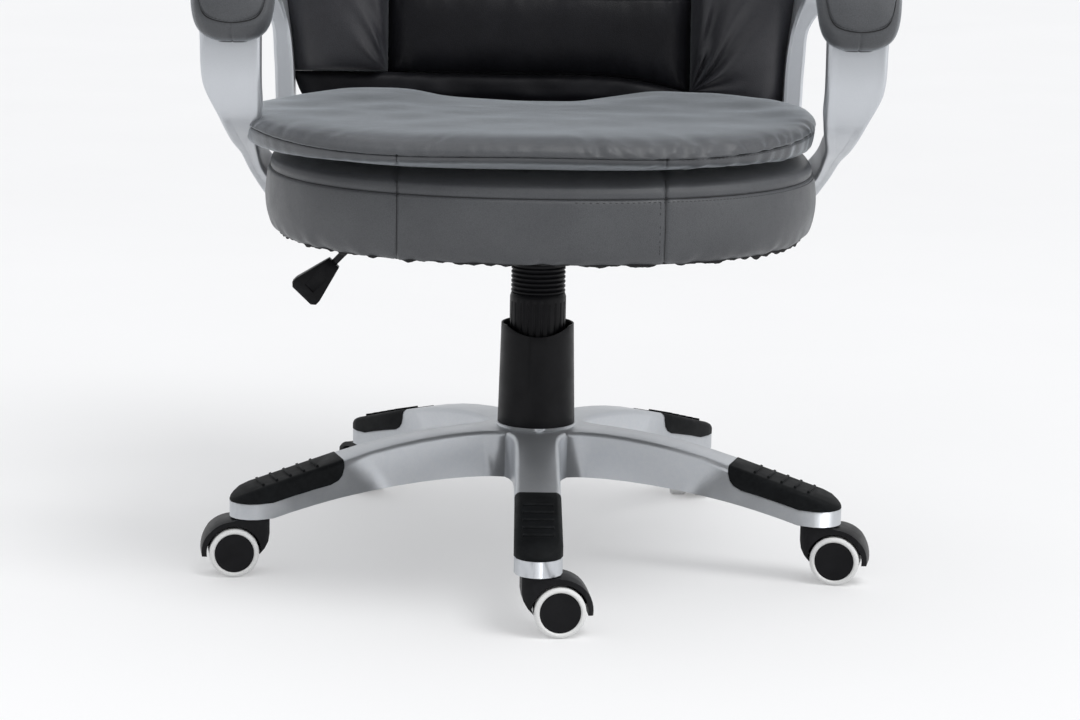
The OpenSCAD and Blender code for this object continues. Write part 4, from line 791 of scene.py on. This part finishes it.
armSet = dict(
    # [y, z, inner x, outer x, thickness in the loop's plane] round the right arm, in millimetres
    stations=[(-140, 545, 275, 334, 24), (-140, 505, 275, 331, 24), (-127, 474, 275, 316, 24),
              (-85, 451, 282, 309, 26), (-40, 434, 284, 303, 28), (15, 411, 283, 299, 30), (65, 386, 272, 291, 32),
              (108, 363, 259, 281, 34), (145, 368, 257, 280, 38), (174, 405, 259, 280, 40), (186, 450, 262, 282, 42),
              (190, 498, 264, 284, 42), (187, 545, 270, 289, 40), (162, 582, 279, 313, 30), (105, 596, 282, 325, 20),
              (40, 598, 283, 325, 18), (-60, 598, 282, 326, 18), (-112, 592, 278, 330, 20), (-136, 575, 275, 334, 23)],
    perSpan=14,
    bead=5.0,
    sink=0.9,
    footLow=(188, 72, 341.6),
    footHigh=(263, 150, 350.6),
    screwHeights=(506, 550),
    screwY=197,
    screwX=(230, 279, 300),         # start of the hole, its seat, and past the outer face
    screwHole=3, screwSeat=7.5,
    footScrews=dict(x=204, y=(84, 112), z=(330, 360)),
)


boxFaces = [[0, 1, 3, 2], [4, 6, 7, 5], [0, 4, 5, 1], [2, 3, 7, 6], [0, 2, 6, 4], [1, 5, 7, 3]]


def armSection(width, depth, bead, sink):
    # Corner points of the band: rounded inside, a shallow sunk face between two soft beads outside
    w, d = width / 2, depth / 2
    b = np.minimum(bead, width / 5)
    one = np.ones_like(w)
    half = [(0 * one, -d), (0.6 * w, -d), (w - 3, -d), (w - 0.8, -d + 0.8), (w, -d + 3), (w, 0 * d), (w, d - 4.2),
            (w - 1.1, d - 1.4), (w - 0.7 * b, d - 0.2), (w - 1.3 * b, d - 0.4 * sink), (w - 2.1 * b, d - 0.9 * sink),
            (0.35 * w, d - sink), (0 * one, d - sink)]
    mirrored = [(-x, y) for x, y in half[-2:0:-1]]
    return np.stack([np.stack(p, -1) for p in half + mirrored], 1)


def loopNormals(path):
    # In the loop's own plane, pointing away from the loop
    along = np.roll(path, -1, 0) - np.roll(path, 1, 0)
    along /= np.linalg.norm(along, axis=1, keepdims=True)
    return np.stack([along[:, 1], -along[:, 0]], 1)


def rod(name, start, end, radius, sides=48):
    # Straight round bar between two points, given in millimetres
    start, end, radius = np.array(start) * mm, np.array(end) * mm, radius * mm
    along = (end - start) / np.linalg.norm(end - start)
    side = np.cross(along, [0, 0, 1] if abs(along[2]) < 0.9 else [1, 0, 0])
    side /= np.linalg.norm(side)
    up = np.cross(along, side)
    angle = circle(sides)[:, None]
    ring = radius * (np.cos(angle) * side + np.sin(angle) * up)
    return surface(name, np.stack([start + ring, end + ring]))


def combine(piece, other, how):
    cut = piece.modifiers.new("cut", "BOOLEAN")
    cut.operation, cut.object, cut.solver = how, other, "EXACT"
    graph = bpy.context.evaluated_depsgraph_get()
    mesh = bpy.data.meshes.new_from_object(piece.evaluated_get(graph))
    piece.modifiers.clear()
    piece.data = mesh
    bpy.data.objects.remove(other)


def armFrame(c, side, name):
    stations = smoothRun(c["stations"], c["perSpan"], closed=True)
    path, inner, outer, depth = stations[:, :2], stations[:, 2], stations[:, 3], stations[:, 4]
    section = armSection(outer - inner, depth, c["bead"], c["sink"])
    section = np.stack([smoothRun(s, 3, closed=True) for s in section])
    out = loopNormals(path)
    x = (inner + outer)[:, None] / 2 + section[..., 0]
    yz = path[:, None, :] + out[:, None, :] * section[..., 1, None]
    grid = np.concatenate([x[..., None], yz], 2) * mm
    piece = surface("arm_" + name, grid, wrapRows=True)
    corners = np.array(list(product(*zip(c["footLow"], c["footHigh"])))) * mm
    combine(piece, meshFrom("foot", corners, boxFaces), "UNION")
    for z in c["screwHeights"]:
        inside, seat, outside = ((x, c["screwY"], z) for x in c["screwX"])
        combine(piece, rod("hole", inside, outside, c["screwHole"]), "DIFFERENCE")
        combine(piece, rod("seat", seat, outside, c["screwSeat"]), "DIFFERENCE")
    foot = c["footScrews"]
    for y in foot["y"]:
        combine(piece, rod("hole", *((foot["x"], y, z) for z in foot["z"]), c["screwHole"]), "DIFFERENCE")
    mesh = piece.data
    if side < 0:
        bm = bmesh.new()
        bm.from_mesh(mesh)
        for v in bm.verts:
            v.co.x = -v.co.x
        bmesh.ops.reverse_faces(bm, faces=bm.faces)
        bm.to_mesh(mesh)
        bm.free()
    mesh.shade_smooth()
    mesh.set_sharp_from_angle(angle=radians(40))
    rideOn(piece, "seat", silver, "silver_plastic", "arm_frame_" + name)


for side, name in ((-1, "left"), (1, "right")):
    armFrame(armSet, side, name)
print("arms done")


# Arm pads: leather over foam, a top panel inside a U-shaped seam and a gusset below it

padSet = dict(
    width=83,
    thickness=44,
    gap=0.3,
    inward=dict(left=3.5, right=1.5),
    gusset=18,                      # height of the strip below the seam at the front
    nose=46,                        # length over which the front end narrows to a round snout
    # [station along the arm, share of the full thickness]
    stations=[(14.2, 0.45), (14.28, 0.72), (14.45, 0.92), (15, 1), (15.5, 1), (16, 1), (16.5, 1), (17, 0.99),
              (17.5, 0.95), (18, 0.86), (18.35, 0.75), (18.6, 0.63), (18.8, 0.5), (18.92, 0.39), (18.99, 0.28)],
    section=[(0, 0), (0.36, 0), (0.455, 0.05), (0.497, 0.2), (0.5, 0.34), (0.482, 0.52), (0.43, 0.72), (0.3, 0.9),
             (0, 1)],
    seamDepth=1.6, swellAbove=0.9, swellBelow=0.5,
    joinDepth=1.1,                  # the upright seam in the nose
    wave=0.5,
)


def armAt(s):
    # The arm's measures, and the direction out of its loop, at s stations from the first
    stations = smoothRun(armSet["stations"], 40, closed=True)
    rows = np.vstack([np.hstack([stations, loopNormals(stations[:, :2])]), [*stations[0], -1, 0]])
    at = np.linspace(0, len(armSet["stations"]), len(rows))
    found = np.stack([np.interp(s, at, column) for column in rows.T], -1)
    return found[:, :5], found[:, 5:]


def armPad(c, side, name):
    stations = smoothRun(c["stations"], 22)
    s, share = stations[:, 0], np.clip(stations[:, 1], 0.05, 1.0)
    place, out = armAt(s)
    half = np.array(c["section"])
    section = smoothRun(np.vstack([half, half[-2:0:-1] * [-1, 1]]), 14, closed=True)
    reach = np.concatenate([[0], np.cumsum(np.hypot(*np.diff(place[:, :2], axis=0).T))])
    ahead = np.clip(1 - (reach[-1] - reach + 1.2) / c["nose"], 0, 1)
    width = c["width"] * np.where(s < 15, 0.4 + 0.6 * share, (1 - ahead ** 2.5) ** 0.41)
    middle = (place[:, 2] + place[:, 3]) / 2 - c["inward"][name]
    across, up = section.T[:, None]
    x = middle[:, None] + width[:, None] * across
    high = c["thickness"] * share[:, None] * up
    lift = place[:, 4, None] / 2 + c["gap"] + high
    yz = place[:, None, :2] + out[:, None, :] * lift[..., None]
    grid = np.concatenate([x[..., None], yz], 2) * mm
    normals = gridNormals(grid)
    # Distance from the pad's lower edge, measured up the side or back from the nose
    nose = np.maximum(0.85 * (reach[-1] - reach)[:, None] + 0.25 * high, 0.1)
    height = np.maximum(0.64 * c["thickness"] * up + 0 * x, 0.1)
    edge = (height ** -2.2 + nose ** -2.2) ** (-1 / 2.2)
    clear = np.clip((up - 0.04) / 0.05, 0, 1)
    above = edge - c["gusset"]
    push = c["swellAbove"] * bell(above - 7, 5) + c["swellBelow"] * bell(above + 7, 4)
    push = push - c["seamDepth"] * bell(above, 0.8) - c["joinDepth"] * bell(x - middle[:, None], 0.8) \
        * (above < 0) * (nose < 40)
    push = push + c["wave"] * ripple(x / 30, reach[:, None] / 40 + 0 * x, 61) * (above > 2)
    grid = grid + normals * (push * clear * mm)[..., None]
    lines = np.concatenate([grid, normals], 2) * [side, 1, 1, side, 1, 1]
    paddedPiece("arm_rest_" + name, lines[..., :3], leather, "arm_pad_" + name)
    padSeams(name, lines, above, section)


def padSeams(name, lines, above, section):
    # The seam is where the distance above it passes zero: one crossing on each side of every row
    count = lines.shape[1]
    sides = []
    for cols in (np.arange(1, count // 2), np.arange(count - 2, count // 2, -1)):
        cols = cols[section[cols, 1] > 0.06]
        found = []
        for row, rise in zip(lines[:, cols], above[:, cols]):
            if (rise > 0).any() and not (rise > 0).all():
                k = int(np.argmax(rise > 0))
                t = rise[k - 1] / (rise[k - 1] - rise[k])
                found.append(row[k - 1] * (1 - t) + row[k] * t)
        sides.append(np.array(found))
    line = evenRun(np.vstack([sides[0], sides[1][::-1]]), 420)
    # The near-black cord along the pad's seam is painted shade in its groove.
    seamShadeCord("pad_seam_shade_" + name, line, radius=0.0006, lift=0.0001)
    line[:, :3] += 0.0012 * line[:, 3:] + [0, 0, 0.0024]
    stitchRow("pad_stitches_" + name, line, radius=0.0004)


for side, name in ((-1, "left"), (1, "right")):
    armPad(padSet, side, name)
print("arm pads done")


# Back: everything is worked out in its own upright frame, then leaned back

backSet = dict(y=0.224, z=0.4348, slope=radians(8), footHalf=258, maxHalf=277, topIn=55, height=700, widest=300,
               corner=(26, 50))
# The lowest seam's droop on the right in two steps: [how far, from x, over this width, power]
sagSteps = [(18, 50, 110, 2), (9, 170, 70, 1)]


def leanBack(x, depth, v):
    # x across, depth towards the sitter, v up along the board, all in millimetres
    c, s = np.cos(backSet["slope"]), np.sin(backSet["slope"])
    x, depth, v = np.broadcast_arrays(x, depth, v)
    return np.stack([x * mm, backSet["y"] + (v * s - depth * c) * mm, backSet["z"] + (v * c + depth * s) * mm], -1)


def backHalf(v):
    # Half width: widens to the shoulder line, narrows to the top, rounded at the foot
    b = backSet
    low = b["footHalf"] + (b["maxHalf"] - b["footHalf"]) * np.sin(pi / 2 * np.clip(v, 0, b["widest"]) / b["widest"])
    under = np.clip((b["corner"][1] - v) / b["corner"][1], 0, 1)
    low = low - b["corner"][0] * (1 - dome(under ** 2))
    high = b["maxHalf"] - b["topIn"] * ((v - b["widest"]) / (b["height"] - b["widest"])) ** 2
    return np.where(v < b["widest"], low, high)


def sag(x, v):
    # The lowest seam and what lies above it hang lower on the right, up to the first channel
    down = sum(far * np.clip((x - start) / width, 0, 1) ** power for far, start, width, power in sagSteps)
    return down * np.clip((panelSet["channels"][0] - v) / (panelSet["channels"][0] - panelSet["low"]), 0, 1)


def bandRows(c, count, ease):
    # Rows up a piece, closer together at both ends
    t = np.linspace(0, 1, count)[:, None]
    return c["low"] + (c["high"] - c["low"]) * (ease * (0.5 - 0.5 * np.cos(pi * t)) + (1 - ease) * t)


def fromMiddle(c, v):
    # 0 half way up the piece and 1 at both its ends
    return np.abs(2 * (v - c["low"]) / (c["high"] - c["low"]) - 1)


def bothHalves(half, perSpan):
    # The right half's corner points and their mirror image as one smooth closed section
    return smoothRun(np.vstack([half, [[0, 0]], np.array(half)[:0:-1] * [-1, 1]]), perSpan, closed=True)


panelSet = dict(
    half=163, depth=58, low=42, high=462,
    channels=(124, 236, 348),
    section=[(0, 1), (0.5, 0.99), (0.82, 0.93), (0.95, 0.76), (1, 0.5), (1, 0.2), (0.99, 0), (0.5, 0)],
    puff=9, channelDepth=3.2,
    wave=1.4, pucker=1.1,
)


def centrePanel(c):
    v = bandRows(c, 340, 0.5)
    section = bothHalves(c["section"], 16)
    edges = np.array([c["low"], *c["channels"], c["high"]])
    which = np.clip(np.searchsorted(edges, v, side="right") - 1, 0, len(edges) - 2)
    s = (v - edges[which]) / (edges[which + 1] - edges[which])
    puff = 1 - np.abs(2 * s - 1) ** 3.2
    u, deep = section.T[:, None]
    front = deep > 0.45
    channel = sum(bell(v - e, 2.0) for e in c["channels"])
    depth = c["depth"] * (0.70 + 0.18 * dome(fromMiddle(c, v) ** 16)) + c["puff"] * puff * dome(u ** 4)
    depth = (depth - c["channelDepth"] * channel) * deep
    # Fabric drawn across between the channels: soft upright waves, short puckers at each channel
    waves = c["wave"] * ripple(u * 2.2, v / 260, 41) * puff
    near = sum(bell(v - e, 13) for e in (*c["channels"], c["low"]))
    puckers = c["pucker"] * ripple(u * 11, v / 90, 17) * near * (1 - channel)
    depth = depth + front * (waves + puckers)
    x = c["half"] * u
    grid = leanBack(x, depth, v - sag(x, v))
    paddedPiece("back_centre_pad", grid, shadedPanelLeather, "back_panel")
    # A near-black cord lies in each channel: painted shade in the channel's groove
    face = np.nonzero(section[:, 1] > 0.7)[0]
    face = face[np.argsort(section[face, 0])]
    for k, e in enumerate(c["channels"]):
        path = evenRun(grid[int(np.argmin(np.abs(v - e))), face], 220)
        out = np.tile(leanBack(0, 1, 0) - leanBack(0, 0, 0), (len(path), 1)) / mm
        seamShadeCord(f"channel_seam_shade_{k + 1}", np.hstack([path, out]), radius=0.0008, lift=0.0002)


bolsterSet = dict(
    inner=163.4, low=41.4, high=690, middle=300, depth=68, spread=5.2, bulge=3.8, bulgeAt=118,
    section=[(0, 0), (0, 0.30), (0.012, 0.55), (0.075, 0.79), (0.19, 0.92), (0.34, 0.985), (0.5, 1), (0.66, 0.97),
             (0.80, 0.90), (0.91, 0.76), (0.985, 0.56), (1, 0.36), (0.985, 0.16), (0.94, 0), (0.5, 0)],
    wave=1.3,
    # Folds at the lower inner corner: [angle in degrees, half width in degrees, length, depth]
    folds=dict(left=[(56, 7.5, 74, 2.2), (77, 5.0, 92, 3.8)],
               right=[(22, 6.0, 52, 3.0), (43, 6.5, 96, 6.8), (62, 6.0, 128, 8.4), (78, 4.5, 104, 5.4)]),
    seeds=dict(left=33, right=38),
)


def bolsterEnd(c, v):
    down = np.clip((c["middle"] - v) / (c["middle"] - c["low"]), 0, 1)
    up = np.clip((v - c["middle"]) / (c["high"] - c["middle"]), 0, 1)
    return dome(np.where(v < c["middle"], down ** 24, up ** 7))


def backBolster(c, side, name):
    v = bandRows(c, 420, 0.8)
    end = bolsterEnd(c, v)
    section = smoothRun(c["section"], 12, closed=True)
    keep = np.where(v < c["middle"], 1.0, 0.5)
    spread = c["spread"] * np.clip((260 - v) / 120, 0, 1) + c["bulge"] * bell(v - c["bulgeAt"], 30)
    width = (backHalf(v) + spread - c["inner"]) * (keep + (1 - keep) * end)
    t, deep = section.T[:, None]
    depth = c["depth"] * (0.8 + 0.2 * end) * deep
    x = c["inner"] + width * t
    # Pleats fan out from the lower inner corner; slow waves run along the roll
    dx, dv = x - c["inner"], v - c["low"]
    reach, turn = np.hypot(dx, dv), np.arctan2(dv, dx + 1e-6)
    onFace = np.clip((deep - 0.5) / 0.3, 0, 1)
    for at, wide, length, foldDepth in c["folds"][name]:
        bent = turn - radians(at) - 0.10 * np.sin(reach / 34 + at)
        rise = np.clip(reach / 24, 0, 1) * np.exp(-(reach / length) ** 2)
        valley = bell(bent, radians(wide) * (1 + 8 / (reach + 8)))
        ridge = bell(np.abs(bent) - 1.9 * radians(wide), radians(wide))
        depth = depth - foldDepth * (valley - 0.5 * ridge) * rise * onFace
    depth = depth + c["wave"] * ripple(t * 1.3, v / 150, c["seeds"][name]) * onFace
    grid = leanBack(x, depth, v - sag(side * x, v))
    grid[..., 0] *= side
    paddedPiece("back_bolster_pad_" + name, grid, shadedBackLeather, "back_bolster_" + name)


rollSet = dict(low=10, high=41, depth=58, wider=3, wave=1.2)


def footRoll(c):
    # Points across the front, then a few along the flat rear
    v = bandRows(c, 60, 1.0)
    across = np.sin(np.linspace(-pi / 2, pi / 2, 260))
    u = np.concatenate([across, [0.66, 0.33, 0, -0.33, -0.66]])[None, :]
    front = np.arange(u.shape[1])[None, :] < len(across)
    full = dome(fromMiddle(c, v) ** 3) * dome(u ** 8)
    depth = np.where(front, c["depth"] * (0.55 + 0.26 * full) + c["wave"] * ripple(u * 6, v / 60, 77) * full, 0)
    x = u * (backHalf(v) + c["wider"])
    paddedPiece("back_foot_roll", leanBack(x, depth, v - sag(x, v)), shadedPanelLeather, "back_roll")


headSet = dict(half=162.6, low=463, high=694, depth=58, crown=26, wave=1.6, narrowFrom=600, narrowBy=0.14,
               section=[(0, 1), (0.45, 0.99), (0.8, 0.88), (0.94, 0.7), (1, 0.42), (1, 0.15), (0.99, 0), (0.5, 0)])


def headPillow(c):
    v = bandRows(c, 200, 1.0)
    section = bothHalves(c["section"], 14)
    full = dome(fromMiddle(c, v) ** 4)
    narrow = 1 - c["narrowBy"] * np.clip((v - c["narrowFrom"]) / (c["high"] - c["narrowFrom"]), 0, 1)
    u, deep = section.T[:, None]
    depth = (c["depth"] * 0.5 + (c["depth"] * 0.5 + c["crown"]) * full) * deep
    depth = depth + c["wave"] * ripple(u * 1.8, v / 120, 55) * (deep > 0.5) * full
    paddedPiece("head_pillow", leanBack(c["half"] * narrow * u, depth, v), shadedBackLeather, "headrest")


coverSet = dict(inset=16, top=676, corner=90, front=12.2,
                levels=[(0, 0), (0, 4), (0.6, 7), (3.5, 10.5), (9, 13.2), (20, 15.2), (45, 16), (120, 16.2),
                        (235, 16.2)],
                pocket=[(-47, 47), (-20, -8), (-20, 100)],      # room for the bracket: x, depth and v
                # [out from the board's edge, behind the board's front] round the leather on the edge
                wrap=[(-28, 0.5), (-29, 0.1), (-28, -0.3), (-14, -0.3), (-1, -0.3), (1.0, 0.2), (1.9, 3), (2.1, 6),
                      (1.9, 9.2), (1.2, 11.4), (0.15, 11.9), (-2, 6), (-5, 1.5), (-14, 0.6)])


def coverOutline(c):
    v = np.linspace(8, c["top"] - c["corner"], 160)
    side = np.stack([backHalf(v) - c["inset"], v], 1)
    a = np.linspace(0, pi / 2, 40)[1:]
    shoulder = backHalf(np.array(c["top"] - c["corner"])) - c["inset"]
    arc = np.stack([shoulder - c["corner"] * (1 - np.cos(a)), c["top"] - c["corner"] + c["corner"] * np.sin(a)], 1)
    half = np.vstack([side, arc])
    return evenRun(np.vstack([half, half[::-1] * [-1, 1]]), 620, closed=True)


def rearCover(c):
    outline = coverOutline(c)
    levels = smoothRun(c["levels"], 6)
    middle = c["top"] / 2
    kx, kv = 1 - levels[:, 0, None] / backSet["maxHalf"], 1 - levels[:, 0, None] / middle
    x, v = outline[None, :, 0] * kx, middle + (outline[None, :, 1] - middle) * kv
    depth = -(c["front"] + levels[:, 1, None]) + 0 * x - 0.5 * ripple(x / 110, v / 110, 91)
    piece = surface("back_rear_cover", leanBack(x, depth, v))
    pocket = leanBack(*np.array(list(product(*c["pocket"]))).T)
    combine(piece, meshFrom("pocket", pocket, boxFaces), "DIFFERENCE")
    piece.data.shade_smooth()
    piece.data.set_sharp_from_angle(angle=radians(50))
    rideOn(piece, "seat", shadedBackLeather, "grey_leather", "back_cover")


def boardWrap(c):
    # Leather pulled round the board's edge: a rounded flat section carried along the board's outline
    outline = coverOutline(c)
    along = np.roll(outline, -1, 0) - np.roll(outline, 1, 0)
    out = np.stack([-along[:, 1], along[:, 0]], 1) / np.linalg.norm(along, axis=1, keepdims=True)
    if (out * (outline - outline.mean(0))).sum() < 0:
        out = -out
    section = smoothRun(c["wrap"], 4, closed=True)
    edge = outline[None] + out[None] * section[:, 0, None, None]
    piece = surface("back_edge_wrap", leanBack(edge[..., 0], -section[:, 1, None], edge[..., 1]), wrapRows=True)
    rideOn(piece, "seat", shadedBackLeather, "grey_leather")


centrePanel(panelSet)
for side, name in ((-1, "left"), (1, "right")):
    backBolster(bolsterSet, side, name)
footRoll(rollSet)
headPillow(headSet)
rearCover(coverSet)
boardWrap(coverSet)
print("back done")


# Rocking spring: one wire wound round an upright axis

springSet = dict(y=0.044, low=0.311, high=0.3476, radius=9.5, wire=1.6, turns=4)


def rockingSpring(c):
    turn = np.linspace(0, 2 * pi * c["turns"], 40 * c["turns"] + 1)[:, None]
    ring = circle(12)[None, :]
    rise = (c["high"] - c["low"] - 2 * c["wire"] * mm) * turn / turn[-1]
    r = (c["radius"] + c["wire"] * np.cos(ring)) * mm
    grid = np.stack([r * np.cos(turn), c["y"] + r * np.sin(turn), c["low"] + c["wire"] * mm + rise
                     + c["wire"] * mm * np.sin(ring)], 2)
    piece = surface("rocking_spring", grid)
    rideOn(piece, "mechanism", springSteel, "spring_steel", "tilt_spring")
    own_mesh(piece)


rockingSpring(springSet)


# Floor, lamps and surroundings

stageSet = dict(floorSize=44.0, drop=0.0002, glowNear=0.315, glowFar=0.225, overhead=0.80, behind=0.78, ahead=0.58)


def addStage(c):
    half = c["floorSize"] / 2
    corners = [[x * half, y * half, -c["drop"]] for x, y in ((-1, -1), (1, -1), (1, 1), (-1, 1))]
    floor = meshFrom("floor", np.array(corners), [[0, 1, 2, 3]])
    # Matt white sheet with a glow that only the eye and mirrors see
    material, tree, shader = newMaterial("paleFloor", Specular_IOR_Level=0.0, Roughness=0.8)
    cloud = objectNoise(tree, 2.2, 5.0)
    tree.links.new(mixColour(tree, cloud, (0.645, 0.645, 0.65), (0.675, 0.675, 0.68)), shader["Base Color"])
    path = put(tree, "LightPath").outputs
    seen = maths(tree, "MAXIMUM", path["Is Camera Ray"], path["Is Glossy Ray"])
    seen = maths(tree, "MAXIMUM", seen, path["Is Transmission Ray"])
    away = put(tree, "SeparateXYZ", {0: objectPlace(tree)}).outputs["Y"]
    glow = ramp(tree, away, -1.0, 2.5, c["glowNear"], c["glowFar"])
    tree.links.new(maths(tree, "MULTIPLY", seen, glow), shader["Emission Strength"])
    shader["Emission Color"].default_value = (1, 1, 1, 1)
    floor.data.materials.append(material)
    # Surroundings: a bright room, dimmer on the camera's side
    world = bpy.data.worlds.new("studio")
    bpy.context.scene.world = world
    world.use_nodes = True
    tree = world.node_tree
    way = put(tree, "SeparateXYZ", {0: put(tree, "TexCoord").outputs["Generated"]}).outputs
    side = ramp(tree, way["Y"], -0.9, 0.25, c["ahead"], c["behind"])
    glow = put(tree, "Mix", {0: ramp(tree, way["Z"], 0.25, 0.8), 2: side, 3: c["overhead"]}, data_type="FLOAT")
    tree.links.new(glow.outputs[0], tree.nodes["Background"].inputs["Strength"])
    tree.nodes["Background"].inputs["Color"].default_value = (0.975, 0.985, 1.0, 1)


def addSun(name, towards, strength, softness):
    data = bpy.data.lights.new(name, "SUN")
    data.energy, data.angle = strength, radians(softness)
    lamp = newObject(name, data)
    lamp.location = towards
    lamp.rotation_euler = Vector(towards).to_track_quat("Z", "Y").to_euler()


addStage(stageSet)
addSun("key", towards=(0.38, -0.28, 1.0), strength=0.92, softness=26)
addSun("side", towards=(1.0, -0.6, 0.35), strength=0.45, softness=50)

bpy.context.scene.view_settings.view_transform = "Standard"
